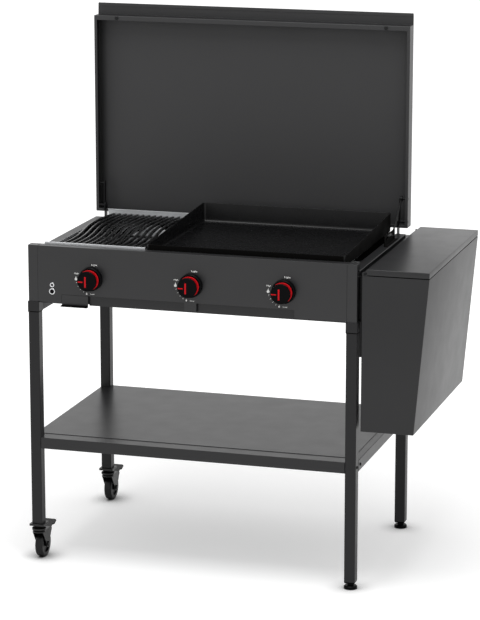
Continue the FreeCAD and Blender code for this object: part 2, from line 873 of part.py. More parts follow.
def wavy_bar(x):
    """One bar: a chain of equal arcs that swing left and right of a straight line along y."""
    end_gap = frame_wall + edge_gap + grate_bar / 2
    start = cook_front + end_gap
    end = frame_back - end_gap
    chord = (end - start) / wave_count
    radius = (chord * chord / 4 + wave_sag * wave_sag) / (2 * wave_sag)
    half_angle = math.asin(chord / 2 / radius)
    low = bar_top + grate_tie_height
    sides = {-1: [], 1: []}
    for n in range(wave_count):
        swing = 1 if n % 2 == 0 else -1
        centre = Vector(x - swing * (radius - wave_sag), start + (n + 0.5) * chord, low)
        for offset in (-1, 1):
            r = radius + swing * offset * grate_bar / 2
            points = [centre + Vector(swing * r * math.cos(a), r * math.sin(a), 0)
                      for a in (-half_angle, 0, half_angle)]
            sides[offset].append(Part.Arc(*points).toShape())
    first = Part.makeLine(sides[-1][0].Vertexes[0].Point, sides[1][0].Vertexes[0].Point)
    last = Part.makeLine(sides[-1][-1].Vertexes[-1].Point, sides[1][-1].Vertexes[-1].Point)
    outline = Part.Wire(Part.__sortEdges__(sides[-1] + sides[1] + [first, last]))
    return Part.Face(outline).extrude(Vector(0, 0, grate_bar_height))


def grate():
    inset = frame_wall + edge_gap + wave_sag + grate_bar / 2
    first = grate_left + inset
    last = grate_right - inset
    count = int((last - first) / grate_pitch) + 1
    step = (last - first) / (count - 1)
    bars = [wavy_bar(first + n * step) for n in range(count)]
    x0 = grate_left + frame_wall + edge_gap
    x1 = grate_right - frame_wall - edge_gap
    ties = []
    for y in (bar_front + bar_width / 2, (bar_front + bar_back + bar_width) / 2, bar_back + bar_width / 2):
        ties.append(block(x0, x1, y - grate_tie / 2, y + grate_tie / 2, bar_top, bar_top + grate_tie_height))
    return joined(bars + ties)


def griddle():
    x0 = griddle_left
    x1 = griddle_right
    y0 = cook_front
    y1 = griddle_back
    t = griddle_plate
    low = griddle_floor - t
    front_high = griddle_floor + griddle_front_wall
    back_high = griddle_floor + griddle_back_wall
    side = [(y0, low), (y1, low), (y1, back_high), (y0, front_high)]
    room = [(y0 + t, griddle_floor), (y1 - t, griddle_floor), (y1 - t, back_high + t), (y0 + t, back_high + t)]
    pan = side_prism(side, x0, x1).cut(side_prism(room, x0 + t, x1 - t))
    feet = []
    for x in (x0 + bar_width, x1 - bar_width):
        for y in (bar_front + bar_width / 2, bar_back + bar_width / 2):
            feet.append(along_z(x, y, griddle_foot_radius, bar_top, low))
    return joined([pan] + feet)


# Lid, drawn open and upright
def lid_shell():
    x = lid_half
    t = sheet
    pan = block(-x, x, lid_front, lid_back, lid_foot, lid_top)
    pan = pan.cut(block(t - x, x - t, lid_front + t, lid_back - t, lid_foot + t, lid_top - t))
    mouth = block(lid_flange - x, x - lid_flange, lid_front, lid_front + t, lid_foot + lid_flange,
                  lid_top - lid_front_flange)
    pan = pan.cut(mouth)
    tip = lid_top + lid_handle
    handle = block(-x, x, lid_back - t, lid_back, lid_top - t, tip)
    fold = block(-x, x, lid_back - 2 * t, lid_back - t, tip - lid_handle_hem, tip)
    slots = []
    for side in (-1, 1):
        near = bracket_x - notch_clearance
        far = bracket_x + hinge_plate + notch_clearance
        x0, x1 = sorted((side * near, side * far))
        slots.append(block(x0, x1, lid_front - 1, hinge_y + hinge_half_width + notch_clearance,
                           lid_foot - 1, lid_foot + lid_flange + 1))
        slots.append(along_x(hinge_y, hinge_z, hinge_pin_radius + slip_fit / 2, side * (x - t), side * x))
        slots.append(along_x(stud_y, stud_z, stay_radius + slip_fit / 2, side * (x - t), side * x))
    return joined([pan, handle, fold]).cut(slots)


def lid_bumper(side):
    x = side * (lid_half - bumper_inset)
    z = lid_top - lid_front_flange / 2
    return along_y(x, z, bumper_radius, lid_front - bumper_height, lid_front)


def hinge_bracket():
    x0 = bracket_x
    x1 = bracket_x + hinge_plate
    w = hinge_half_width
    upright = block(x0, x1, hinge_y - w, hinge_y + w, rear_top, hinge_z)
    plate = joined([upright, along_x(hinge_y, hinge_z, w, x0, x1)])
    foot = block(x0, x1 + hinge_foot, hinge_y - w, hinge_y + w, rear_top, rear_top + hinge_foot_thickness)
    return joined([plate, foot]).cut(along_x(hinge_y, hinge_z, hinge_pin_radius + running_fit, x0, x1))


# Lid stay: a rod on a stud in the lid, whose foot pin runs in a curved slot on the right rail
stud_y = hinge_y + stay_stud_setback
stud_z = hinge_z + stay_stud_rise
foot_y = stud_y - stay_foot_reach - stay_stud_setback
foot_z = rail_top + stay_foot_rise
stay_length = math.hypot(stud_y - foot_y, stud_z - foot_z)
rest_angle = math.atan2(foot_z - stud_z, foot_y - stud_y)
shut_rise = foot_z - (hinge_z + stay_stud_setback)
shut_angle = -math.pi - math.asin(shut_rise / stay_length)
swing = math.radians(lid_swing)
stay_ratio = (shut_angle - rest_angle) / swing - 1


def foot_place(share):
    """Centre of the stay's foot pin, in y and z, with the lid at this share of its swing."""
    turn = swing * share
    dy = stud_y - hinge_y
    dz = stud_z - hinge_z
    y = hinge_y + dy * math.cos(turn) - dz * math.sin(turn)
    z = hinge_z + dy * math.sin(turn) + dz * math.cos(turn)
    way = rest_angle + (1 + stay_ratio) * turn
    return y + stay_length * math.cos(way), z + stay_length * math.sin(way)


def lid_arm():
    """Upright on the lid, with the hinge pin at its foot and the stud of the stay at its top."""
    x0 = bracket_x + hinge_plate + edge_gap
    x1 = x0 + arm_plate
    w = arm_half_width
    plate = side_prism([(hinge_y - w, hinge_z), (hinge_y + w, hinge_z), (stud_y + w, stud_z), (stud_y - w, stud_z)],
                       x0, x1)
    ends = [along_x(hinge_y, hinge_z, w, x0, x1), along_x(stud_y, stud_z, w, x0, x1)]
    hinge_pin = along_x(hinge_y, hinge_z, hinge_pin_radius, bracket_x - 1, lid_half)
    stud = along_x(stud_y, stud_z, stay_radius, x0, lid_half)
    return joined([plate, hinge_pin, stud] + ends)


guide_x = stay_x + stay_eye_width / 2 + guide_gap


def lid_stay():
    half = stay_eye_width / 2
    eye = along_x(stud_y, stud_z, stay_eye_radius, stay_x - half, stay_x + half)
    arm = pin(Vector(stay_x, stud_y, stud_z), Vector(stay_x, foot_y, foot_z), stay_rod_radius)
    knuckle = along_x(foot_y, foot_z, stay_knuckle_radius, stay_x - half, stay_x + half)
    end = guide_x + guide_plate + edge_gap
    foot = along_x(foot_y, foot_z, stay_radius, stay_x, end)
    head = along_x(foot_y, foot_z, stay_head_radius, end, end + stay_head)
    rod = joined([eye, arm, knuckle, foot, head])
    return rod.cut(along_x(stud_y, stud_z, stay_radius + running_fit, stay_x - half, stay_x + half))


def stay_guide():
    places = [foot_place(n / stay_steps) for n in range(stay_steps + 1)]
    slot_half = stay_radius + stay_slot_clearance
    margin = slot_half + guide_margin
    x0 = guide_x
    x1 = guide_x + guide_plate
    front = min(y for y, z in places) - margin
    back = max(y for y, z in places) + margin
    top = max(z for y, z in places) + slot_half + guide_margin / 2
    plate = block(x0, x1, front, back, rail_top, top)
    foot = block(x0, x1 + guide_foot, front, back, rail_top, rail_top + guide_plate)
    cuts = []
    for (ya, za), (yb, zb) in zip(places, places[1:]):
        length = math.hypot(yb - ya, zb - za)
        ny = -(zb - za) / length * slot_half
        nz = (yb - ya) / length * slot_half
        cuts.append(side_prism([(ya + ny, za + nz), (yb + ny, zb + nz), (yb - ny, zb - nz), (ya - ny, za - nz)],
                               x0 - 1, x1 + 1))
    cuts += [along_x(y, z, slot_half, x0 - 1, x1 + 1) for y, z in places]
    return joined([plate, foot]).cut(joined(cuts))


# Side box with a lift-up lid, hung on the right-hand posts
box_slope = (box_top_width - box_bottom_width) / (box_wall_top - box_bottom)


def side_box_end():
    """Front end plate with the ear that carries the lid's hinge pin."""
    outline = [(box_x, box_bottom), (box_x + box_bottom_width, box_bottom), (box_x + box_top_width, box_wall_top),
               (box_x, box_wall_top)]
    x0 = box_x + box_wall
    x1 = box_axis_x + box_ear_radius
    y0 = box_front + box_wall
    y1 = y0 + edge_gap + box_ear
    plate = front_prism(outline, box_front, y0)
    foot = block(x0, x1, y0, y1, box_wall_top - box_ear_foot, box_wall_top)
    ear = block(x0, x1, y0 + edge_gap, y1, box_wall_top, box_ear_top)
    hole = along_y(box_axis_x, box_axis_z, box_pin_radius + slip_fit, y0, y1)
    return joined([plate, foot, ear]).cut(hole)


def side_box_body():
    """Five plates welded at their edges."""
    w = box_wall
    y0 = box_front + w
    y1 = box_back - w
    floor_top = box_bottom + w
    corner = box_x + box_bottom_width + w * box_slope
    rim = box_x + box_top_width
    floor = front_prism([(box_x, box_bottom), (box_x + box_bottom_width, box_bottom), (corner, floor_top),
                         (box_x, floor_top)], y0, y1)
    outer_wall = front_prism([(corner - w, floor_top), (corner, floor_top), (rim, box_wall_top),
                              (rim - w, box_wall_top)], y0, y1)
    inner_wall = joined([block(box_x, box_x + w, y0, y1, floor_top, box_wall_top),
                         block(box_x, box_x + w, y0 + edge_gap, y1 - edge_gap, box_wall_top, box_axis_z)])
    end = side_box_end()
    far_end = end.mirror(Vector(0, (box_front + box_back) / 2, 0), Vector(0, 1, 0))
    return group([end, far_end, floor, outer_wall, inner_wall])


def side_box_lid():
    """A top folded down along the hinge side, with three rims welded under its edges, flush with the box."""
    t = sheet
    low = box_lid_top - box_lid_height
    x1 = box_x + box_top_width
    y0 = box_front
    y1 = box_back
    fold = Vector(box_x + box_lid_inset, 0, box_lid_top)
    foot = Vector(box_x + box_slope_foot, 0, box_lid_top - box_slope_drop)
    along = (foot - fold).normalize()
    inward = Vector(-along.z, 0, along.x) * t
    bend = fold.x + inward.x - (t + inward.z) * along.x / along.z
    top = front_prism([(fold.x, fold.z), (x1, fold.z), (x1, fold.z - t), (bend, fold.z - t),
                       (foot.x + inward.x, foot.z + inward.z), (foot.x, foot.z)], y0 + t, y1 - t)
    room = t + box_ear + 2 * edge_gap
    notches = [block(box_x, bend, y, y + room, low, box_lid_top - t) for y in (y0, y1 - room)]
    outer_rim = block(x1 - t, x1, y0 + t, y1 - t, low, box_lid_top - t)
    outline = [(box_x + box_rim_cut, low), (x1, low), (x1, fold.z), (fold.x, fold.z), (foot.x, foot.z)]
    rims = []
    for y in (y0, y1 - t):
        hole = along_y(box_axis_x, box_axis_z, box_pin_radius + running_fit, y, y + t)
        rims.append(front_prism(outline, y, y + t).cut(hole))
    return group([top.cut(notches), outer_rim] + rims)


def side_box_pins():
    pins = []
    depth = box_wall + edge_gap + box_ear
    for edge, way in ((box_front, 1), (box_back, -1)):
        outside = edge - way * edge_gap
        y0, y1 = sorted((outside, edge + way * depth))
        h0, h1 = sorted((outside - way * box_pin_head, outside))
        shaft = along_y(box_axis_x, box_axis_z, box_pin_radius, y0, y1)
        pins.append(joined([shaft, along_y(box_axis_x, box_axis_z, box_pin_head_radius, h0, h1)]))
    return group(pins)


def side_box_hanger(back):
    t = hanger_sheet
    x0 = wall_x + sheet
    top = box_lid_top - hanger_top_drop
    low = top - hanger_height
    y0 = box_front
    pieces = [block(x0, x0 + t, y0, y0 + hanger_width, low, top),
              block(box_x - t, box_x, y0, y0 + hanger_width, low, top),
              block(x0, box_x, y0 + hanger_width - t, y0 + hanger_width, low, top),
              block(box_x - t, box_x, y0, y0 + hanger_width, low - hanger_tongue_length, low),
              block(box_x - hanger_tongue, box_x, y0, y0 + t, low - hanger_tongue_length, low)]
    hanger = joined(pieces)
    if back:
        hanger = hanger.mirror(Vector(0, cart_depth / 2, 0), Vector(0, 1, 0))
    return hanger


# All pieces by name
leg_rows = {"front": leg_front, "rear": leg_back}
parts = {}
for row, y in leg_rows.items():
    parts["leg_" + row + "_left"] = leg(-1, y, caster_height)
    parts["leg_" + row + "_right"] = leg(1, y, foot_height)
    parts["levelling_foot_" + row] = levelling_foot(y)
    parts["caster_fork_" + row] = caster_fork(y)
    parts["caster_axle_" + row] = caster_axle(y)
    parts["caster_wheel_" + row] = caster_wheel(y)
    parts["caster_pedal_" + row] = caster_pedal(y)
sides_and_rows = [(side, y) for side in (-1, 1) for y in leg_rows.values()]
parts["leg_sleeves"] = group([sleeve(side, y) for side, y in sides_and_rows])
parts["corner_posts"] = group([post(side, y, front_top if y == leg_front else rear_top)
                               for side, y in sides_and_rows])
parts["leg_plugs"] = group([leg_plug(y) for y in leg_rows.values()])
parts["caster_mounts"] = group([caster_mount(y) for y in leg_rows.values()])
parts["shelf_panel"] = shelf_panel()
parts["shelf_rails"] = group([shelf_long_rail(False), shelf_long_rail(True), mirrored(shelf_side_rail()),
                              shelf_side_rail()])
parts["shelf_screws"] = group([shelf_screw(side, spot)
                               for side, y in sides_and_rows for spot in screw_spots(y)])
parts["front_panel"] = front_panel()
parts["heat_shield"] = heat_shield()
parts["left_side_panel"] = mirrored(side_panel())
parts["right_side_panel"] = side_panel()
parts["rear_panel"] = rear_panel()
parts["cross_bars"] = cross_bars()
parts["burner_tubes"] = group([burner_tube(x) for x in burner_places])
parts["heat_tent"] = heat_tent()
parts["igniter_electrodes"] = group([electrode(x) for x in burner_places])
parts["gas_manifold"] = gas_manifold()
parts["valve_bodies"] = group([valve_body(x) for x in burner_places])
for name, x in zip(names, burner_places):
    parts["valve_plug_" + name] = valve_plug(x)
    parts["knob_" + name] = knob(x)
    parts["knob_ring_" + name] = knob_ring(x)
parts["knob_bezels"] = group([knob_bezel(x) for x in burner_places])
parts["igniter_button"] = igniter_button()
parts["button_bezels"] = button_bezels()
parts["igniter_module"] = igniter_module()
parts["drip_pan"] = drip_pan()
parts["grease_tray"] = grease_tray()
parts["grate_frame"] = grate_frame()
parts["grate"] = grate()
parts["griddle"] = griddle()
parts["lid_shell"] = lid_shell()
parts["lid_bumpers"] = group([lid_bumper(-1), lid_bumper(1)])
parts["hinge_brackets"] = both_sides(hinge_bracket())
parts["lid_arms"] = both_sides(lid_arm())
parts["lid_stay"] = lid_stay()
parts["stay_guide"] = stay_guide()
parts["side_box_body"] = side_box_body()
parts["side_box_lid"] = side_box_lid()
parts["side_box_pins"] = side_box_pins()
parts["side_box_hangers"] = group([side_box_hanger(False), side_box_hanger(True)])

# The origin is on the floor, under the middle of the whole object
whole = group(list(parts.values())).BoundBox
shift = Vector(-whole.Center.x, -whole.Center.y, 0)
os.makedirs("parts", exist_ok=True)
for name, shape in parts.items():
    shape.translated(shift).exportStep("parts/" + name + ".step")
print("pieces", len(parts), "origin shift", round(shift.x, 3), round(shift.y, 3))
print("size", round(whole.XLength, 1), round(whole.YLength, 1), round(whole.ZLength, 1))
print("lid axis", round(hinge_y, 3), round(hinge_z, 3), "stud", round(stud_y, 3), round(stud_z, 3))
print("stay ratio", round(stay_ratio, 6), "box axis", round(box_axis_x, 3), round(box_axis_z, 3))
print("gas inlet", round(supply_x, 3), round(inlet_start, 3), round(supply_z, 3))
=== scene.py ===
import bpy
import bmesh
import json
import math
from mathutils import Matrix, Vector

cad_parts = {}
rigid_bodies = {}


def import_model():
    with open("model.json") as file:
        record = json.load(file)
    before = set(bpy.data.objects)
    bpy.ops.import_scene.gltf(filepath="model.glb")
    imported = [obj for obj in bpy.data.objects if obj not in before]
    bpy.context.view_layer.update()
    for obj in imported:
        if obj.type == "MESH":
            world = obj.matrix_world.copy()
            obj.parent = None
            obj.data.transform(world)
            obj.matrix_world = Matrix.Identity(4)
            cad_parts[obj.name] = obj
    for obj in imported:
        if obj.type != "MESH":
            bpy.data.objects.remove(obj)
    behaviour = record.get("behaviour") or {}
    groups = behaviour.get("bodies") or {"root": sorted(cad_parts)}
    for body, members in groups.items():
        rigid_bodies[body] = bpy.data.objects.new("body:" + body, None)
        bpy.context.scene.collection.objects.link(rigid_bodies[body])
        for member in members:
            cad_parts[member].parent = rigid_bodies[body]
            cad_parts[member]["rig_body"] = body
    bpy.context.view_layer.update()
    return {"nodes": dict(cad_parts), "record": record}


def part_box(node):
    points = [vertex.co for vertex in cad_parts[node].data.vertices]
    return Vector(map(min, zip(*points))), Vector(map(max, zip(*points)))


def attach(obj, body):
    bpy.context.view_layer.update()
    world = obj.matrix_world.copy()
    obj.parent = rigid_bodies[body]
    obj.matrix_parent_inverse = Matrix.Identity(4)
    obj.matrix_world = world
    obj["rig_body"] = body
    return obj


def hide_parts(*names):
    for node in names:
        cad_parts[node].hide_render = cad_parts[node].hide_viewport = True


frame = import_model()
scene = bpy.context.scene
mm = 0.001


# Colours and shader nodes
def linear(hexColour):
    values = []
    for n in (1, 3, 5):
        c = int(hexColour[n:n + 2], 16) / 255
        values.append(c / 12.92 if c <= 0.04045 else ((c + 0.055) / 1.055) ** 2.4)
    return (*values, 1.0)


def addNode(tree, kind, sockets=None, **settings):
    node = tree.nodes.new(kind)
    for name, value in settings.items():
        setattr(node, name, value)
    for name, value in (sockets or {}).items():
        if isinstance(value, bpy.types.NodeSocket):
            tree.links.new(value, node.inputs[name])
        else:
            node.inputs[name].default_value = value
    return node


def newFinish(name, fixed):
    finish = bpy.data.materials.new(name)
    finish.use_nodes = True
    shader = finish.node_tree.nodes["Principled BSDF"]
    for socket, value in fixed.items():
        shader.inputs[socket].default_value = value
    return finish, finish.node_tree, shader


# What a finish has unless its look says otherwise
plainLook = dict(metal=0.0, shine=0.5, patchMm=60, grainMm=2.2, relief=0.05, deepMm=0.08, stretch=(1, 1, 1))


def blotched(name, look):
    # Slow drift of tone and gloss over the surface, and a fine relief
    look = {**plainLook, **look}
    finish, tree, shader = newFinish(name, {"Metallic": look["metal"], "Specular IOR Level": look["shine"]})
    where = addNode(tree, "ShaderNodeTexCoord")
    stretch = addNode(tree, "ShaderNodeMapping", {"Vector": where.outputs["Object"], "Scale": look["stretch"]})
    drift = addNode(tree, "ShaderNodeTexNoise", {
        "Vector": stretch.outputs["Vector"], "Scale": 1 / (look["patchMm"] * mm), "Detail": 3.0})
    tone = addNode(tree, "ShaderNodeMix", {
        "Factor": drift.outputs["Fac"], 6: linear(look["dark"]), 7: linear(look["light"])}, data_type="RGBA")
    tree.links.new(tone.outputs[2], shader.inputs["Base Color"])
    gloss = addNode(tree, "ShaderNodeMapRange", {
        "Value": drift.outputs["Fac"], "From Min": 0.3, "From Max": 0.7, "To Min": look["smooth"],
        "To Max": look["rough"]})
    tree.links.new(gloss.outputs["Result"], shader.inputs["Roughness"])
    grain = addNode(tree, "ShaderNodeTexNoise", {
        "Vector": stretch.outputs["Vector"], "Scale": 1 / (look["grainMm"] * mm), "Detail": 2.0})
    relief = addNode(tree, "ShaderNodeBump", {
        "Height": grain.outputs["Fac"], "Strength": look["relief"], "Distance": look["deepMm"] * mm})
    tree.links.new(relief.outputs["Normal"], shader.inputs["Normal"])
    return finish


finishLooks = {
    # Steel with a baked satin powder coat: dark grey, soft sheen, faint orange peel drawn 3 times too coarse
    "anthracite_coat": ("powderCoatAnthracite", dict(
        dark="#222223", light="#252526", smooth=0.3, rough=0.33, shine=0.45)),
    # The same coat a shade deeper and flatter, on the stand, the shelf and the side box: the deeper tone is
    # painted shade, also behind the front panel's notches
    "stand_coat": ("powderCoatDeepGrey", dict(
        dark="#1e1e1f", light="#212122", smooth=0.3, rough=0.34, shine=0.36)),
    # The same coat on the lid, baked duller by the heat: an even grey with hardly a reflection
    "lid_coat": ("powderCoatLidGrey", dict(
        dark="#252526", light="#282829", smooth=0.52, rough=0.58)),
    # The same coat inside the lid, painted a little lighter as painted light, with painted shade added in its
    # folds below
    "lid_inside_lit_and_shaded": ("powderCoatPaintedLightAndShade", dict(
        dark="#2a2a2b", light="#2d2d2e", smooth=0.52, rough=0.58)),
    # The same coat on the leg tubes, darker and flatter still: the darker tone is painted shade, also on the
    # side panels and the ledge under the lid's lip
    "leg_coat": ("powderCoatLegGrey", dict(
        dark="#1c1c1d", light="#1f1f20", smooth=0.32, rough=0.38, shine=0.25)),
    # The same coat in black on small folded brackets
    "black_coat": ("powderCoatBlack", dict(
        dark="#0a0a0b", light="#0e0e0f", smooth=0.34, rough=0.42, shine=0.16, patchMm=40, relief=0.06,
        deepMm=0.1)),
    # Painted shade: the grey coat painted dull near-black on faces in shade, inside the burner box, on the
    # griddle's outside, the forks, the sleeves' foot, the tray and the stay guide
    "shade_black": ("paintedShadeBlack", dict(
        dark="#060606", light="#0b0a09", smooth=0.7, rough=0.9, shine=0.04, patchMm=55, grainMm=3.0, relief=0.2,
        deepMm=0.2)),
    # Vitreous enamel over steel: black glass with a clear glare and pin-head specks
    "black_enamel": ("vitreousEnamelBlack", dict(
        dark="#060607", light="#0a0a0b", smooth=0.22, rough=0.3, shine=0.22, patchMm=40, grainMm=2.5)),
    # The same enamel on the round-backed grate bars: thicker, so each bar carries a bright line
    "grate_enamel": ("vitreousEnamelGlossy", dict(
        dark="#0c0c0d", light="#121213", smooth=0.24, rough=0.32, shine=0.6, patchMm=30, grainMm=2.5)),
    # Ground stainless sheet: bright, with fine lines along the length drawn coarse enough to show
    "stainless_steel": ("brushedStainless", dict(
        dark="#c6c8ca", light="#e2e4e6", smooth=0.36, rough=0.5, metal=1.0, patchMm=30, grainMm=1.6, relief=0.1,
        deepMm=0.1, stretch=(0.06, 1, 1))),
    # Hot-dip galvanised sheet that heat has stained: dull dark grey crystals
    "galvanised_steel": ("galvanisedSheet", dict(
        dark="#4a4a4a", light="#6c6d6e", smooth=0.4, rough=0.6, metal=1.0, patchMm=9, grainMm=4.0, deepMm=0.1)),
    # Stove-enamelled castor steel: black with a wet gloss on its bends
    "castor_paint": ("castorBlackGloss", dict(
        dark="#050506", light="#09090a", smooth=0.26, rough=0.36, shine=0.42, patchMm=12, grainMm=1.5,
        relief=0.06, deepMm=0.1)),
    # Machined brass: yellow metal with turning marks
    "brass": ("machinedBrass", dict(
        dark="#a8843c", light="#caa75c", smooth=0.24, rough=0.38, metal=1.0, patchMm=10, grainMm=1.2,
        relief=0.06, deepMm=0.1)),
    # Spark-eroded black ABS: deep black with a fine matt grain that takes a soft highlight
    "black_plastic": ("mouldedAbsBlack", dict(
        dark="#030304", light="#060607", smooth=0.34, rough=0.44, shine=0.06, patchMm=20, grainMm=1.0,
        relief=0.1, deepMm=0.1)),
    # Moulded red plastic: even colour, semi-gloss
    "red_plastic": ("mouldedAbsRed", dict(
        dark="#bd1019", light="#c9161e", smooth=0.32, rough=0.42, shine=0.12, patchMm=15, grainMm=1.0,
        deepMm=0.1)),
    # Chromium plate on a turned ring: mirror bright
    "chrome": ("chromePlate", dict(
        dark="#dcdddf", light="#efeff0", smooth=0.08, rough=0.14, metal=1.0, patchMm=8, grainMm=2.0,
        relief=0.02, deepMm=0.05)),
    # Glazed spark-plug ceramic: white, glassy
    "ceramic": ("glazedCeramic", dict(
        dark="#ddd8cc", light="#ece8de", smooth=0.14, rough=0.24, shine=0.55, patchMm=10, grainMm=3.0,
        relief=0.03, deepMm=0.1)),
    # Moulded rubber: black, dull, dusty on the high spots
    "black_rubber": ("mouldedRubber", dict(
        dark="#121212", light="#1c1c1c", smooth=0.55, rough=0.72, shine=0.4, patchMm=10, grainMm=1.2,
        relief=0.15, deepMm=0.15)),
    # Hard polyurethane tyre: black with a polished running face
    "tread": ("castTyre", dict(
        dark="#0a0a0b", light="#101011", smooth=0.26, rough=0.4, shine=0.25, patchMm=14, grainMm=1.5,
        relief=0.06, deepMm=0.1)),
    # Tinted polycarbonate lamp lens: dark, clear gloss
    "lens": ("tintedLens", dict(
        dark="#2c2c2e", light="#343436", smooth=0.1, rough=0.16, shine=0.4, patchMm=5, grainMm=1.0, relief=0.02,
        deepMm=0.05)),
    # Screen-printed ink on the panel: flat white with worn, slightly dull gloss
    "print_ink": ("screenPrintWhite", dict(
        dark="#dcdcda", light="#f0f0ee", smooth=0.45, rough=0.6, shine=0.4, patchMm=6, grainMm=0.8,
        deepMm=0.05)),
}
finishes = {key: blotched(*finishLook) for key, finishLook in finishLooks.items()}
slotOf = {entry["node"]: entry["material_slot"] for entry in frame["record"]["subparts"]}
sides, ends = ("left", "right"), ("front", "rear")
legs = [f"leg_{end}_{side}" for end in ends for side in sides]
castors = [f"caster_{piece}_{end}" for piece in ("fork", "pedal") for end in ends]
shades = {"lid_coat": ["lid_shell"], "leg_coat": legs + ["leg_sleeves", "left_side_panel", "right_side_panel"],
          "stand_coat": ["shelf_rails", "shelf_panel", "heat_shield"], "shade_black": ["stay_guide", "grease_tray"],
          "castor_paint": castors + ["caster_mounts", "caster_axle_front", "caster_axle_rear"],
          "tread": ["lid_bumpers"]}  # bumpers harder and blacker than the feet
finishOf = {node: finishes[slotName] for node, slotName in slotOf.items()}
for shade, nodes in shades.items():
    finishOf.update({node: finishes[shade] for node in nodes})

# Painted shade: the lid's inside darkened towards its two side folds
lidLow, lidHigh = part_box("lid_shell")
lidMiddle, lidHalf = (lidLow.x + lidHigh.x) / 2, (lidHigh.x - lidLow.x) / 2
lidFoldShade = dict(fullTo=8, fadeTo=26, tone=0.05)  # millimetres from the side, then the tone left
tree = finishes["lid_inside_lit_and_shaded"].node_tree
coat = tree.nodes["Principled BSDF"].inputs["Base Color"]
where = addNode(tree, "ShaderNodeTexCoord")
axes = addNode(tree, "ShaderNodeSeparateXYZ", {"Vector": where.outputs["Object"]})
offset = addNode(tree, "ShaderNodeMath", {0: axes.outputs["X"], 1: lidMiddle}, operation="SUBTRACT")
sideways = addNode(tree, "ShaderNodeMath", {0: offset.outputs["Value"]}, operation="ABSOLUTE")
fold = addNode(tree, "ShaderNodeMapRange", {
    "Value": sideways.outputs["Value"], "From Min": lidHalf - lidFoldShade["fadeTo"] * mm,
    "From Max": lidHalf - lidFoldShade["fullTo"] * mm, "To Min": 1.0, "To Max": lidFoldShade["tone"]})
toned = addNode(tree, "ShaderNodeMix", {
    "Factor": 1.0, 6: coat.links[0].from_socket, 7: fold.outputs["Result"]},
    data_type="RGBA", blend_type="MULTIPLY")
tree.links.new(toned.outputs[2], coat)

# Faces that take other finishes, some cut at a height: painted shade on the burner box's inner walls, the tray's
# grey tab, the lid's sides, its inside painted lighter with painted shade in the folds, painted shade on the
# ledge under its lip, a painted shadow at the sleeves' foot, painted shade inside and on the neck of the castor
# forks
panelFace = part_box("front_panel")[0].y
trayLow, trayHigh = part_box("grease_tray")
zonesMm = dict(wallShadeFrom=736.0, trayLip=4.0, trayTab=1.3, traySide=12.0, sleeveFoot=2.6, lidSkin=1.0,
               lidWall=3.0, ledgeFrom=20.0, ledgeTo=45.0, neckFrom=81.2, neckRadius=15.6, cheekRoom=13.2)
zones = {zone: reach * mm for zone, reach in zonesMm.items()}
lipTop = trayLow.z + zones["trayLip"]
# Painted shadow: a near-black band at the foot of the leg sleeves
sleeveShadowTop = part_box("leg_sleeves")[0].z + zones["sleeveFoot"]
facesWay, squarely = 0.7, 0.9  # least share of a normal that counts as facing an axis


# Painted shade: the castor forks' insides, neck and underside take the near-black shade finish
def forkShadeFaces(node):
    low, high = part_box(node)
    x, y = (low.x + high.x) / 2, low.y + (high.x - low.x) / 2

    def chosen(middle, facing):
        neck = middle.z > zones["neckFrom"] and math.hypot(middle.x - x, middle.y - y) < zones["neckRadius"]
        cheek = abs(facing.x) > squarely and abs(middle.x - x) < zones["cheekRoom"]
        return neck or cheek or facing.z < -squarely
    return chosen


def lidZone(middle, facing):
    # 1 a side, 2 the inside, painted lighter with painted shade in its folds, 3 the ledge, painted shade under
    # the lip, 0 the rest
    below = lidHigh.z - middle.z
    fromSide = lidHalf - abs(middle.x - lidMiddle)
    if fromSide < zones["lidSkin"]:
        return 1
    pan = facing.y < -facesWay and middle.y > lidHigh.y - zones["lidWall"] and below > zones["ledgeTo"]
    if pan or abs(facing.x) > facesWay and fromSide < zones["lidWall"]:
        return 2
    return 3 if facing.z > facesWay and zones["ledgeFrom"] < below < zones["ledgeTo"] else 0


def trayGrey(middle, facing):
    tab = middle.y < panelFace + zones["trayTab"]
    side = facing.x > facesWay and middle.x > trayHigh.x - zones["traySide"]
    return (tab or side) and middle.z > lipTop


# Painted shade: inward faces of the burner box's walls above a height take the near-black shade finish
def innerWallShade(axis, way):
    return lambda middle, facing: facing[axis] * way > facesWay and middle.z > zones["wallShadeFrom"]


secondFinish = {
    "left_side_panel": (["shade_black"], zones["wallShadeFrom"], innerWallShade(0, 1)),
    "right_side_panel": (["shade_black"], zones["wallShadeFrom"], innerWallShade(0, -1)),
    "rear_panel": (["shade_black"], zones["wallShadeFrom"], innerWallShade(1, -1)),
    "grease_tray": (["anthracite_coat"], lipTop, trayGrey),
    "lid_shell": (["anthracite_coat", "lid_inside_lit_and_shaded", "leg_coat"], 0, lidZone),
    "leg_sleeves": (["shade_black"], sleeveShadowTop, lambda middle, facing: middle.z < sleeveShadowTop),
    **{node: (["shade_black"], 0, forkShadeFaces(node)) for node in castors if "fork" in node},
}
print("finishes", len(finishes), "slots", len(slotOf))


# Workshop: small helpers that the pieces share
frameSlots = {entry["slot"] for entry in frame["record"]["materials"]}
limits = dict(weld=2e-6, flat=0.5, fold=20, formed=30, crease=35, cutEdge=60)  # metres, then degrees


def linked(piece):
    if not piece.users_collection:
        scene.collection.objects.link(piece)
    return piece


def settle(piece, body, slotName, *nodes):
    linked(piece)
    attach(piece, body)
    if nodes:
        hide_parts(*nodes)
    return piece


def bodyOf(node):
    return frame["nodes"][node]["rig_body"]


def evaluated(piece):
    linked(piece)
    bpy.context.view_layer.update()
    return bpy.data.meshes.new_from_object(piece.evaluated_get(bpy.context.evaluated_depsgraph_get()))


def baked(piece):
    # The evaluated mesh becomes the piece's own, and its modifiers go
    mesh = evaluated(piece)
    piece.modifiers.clear()
    piece.data = mesh
    return piece


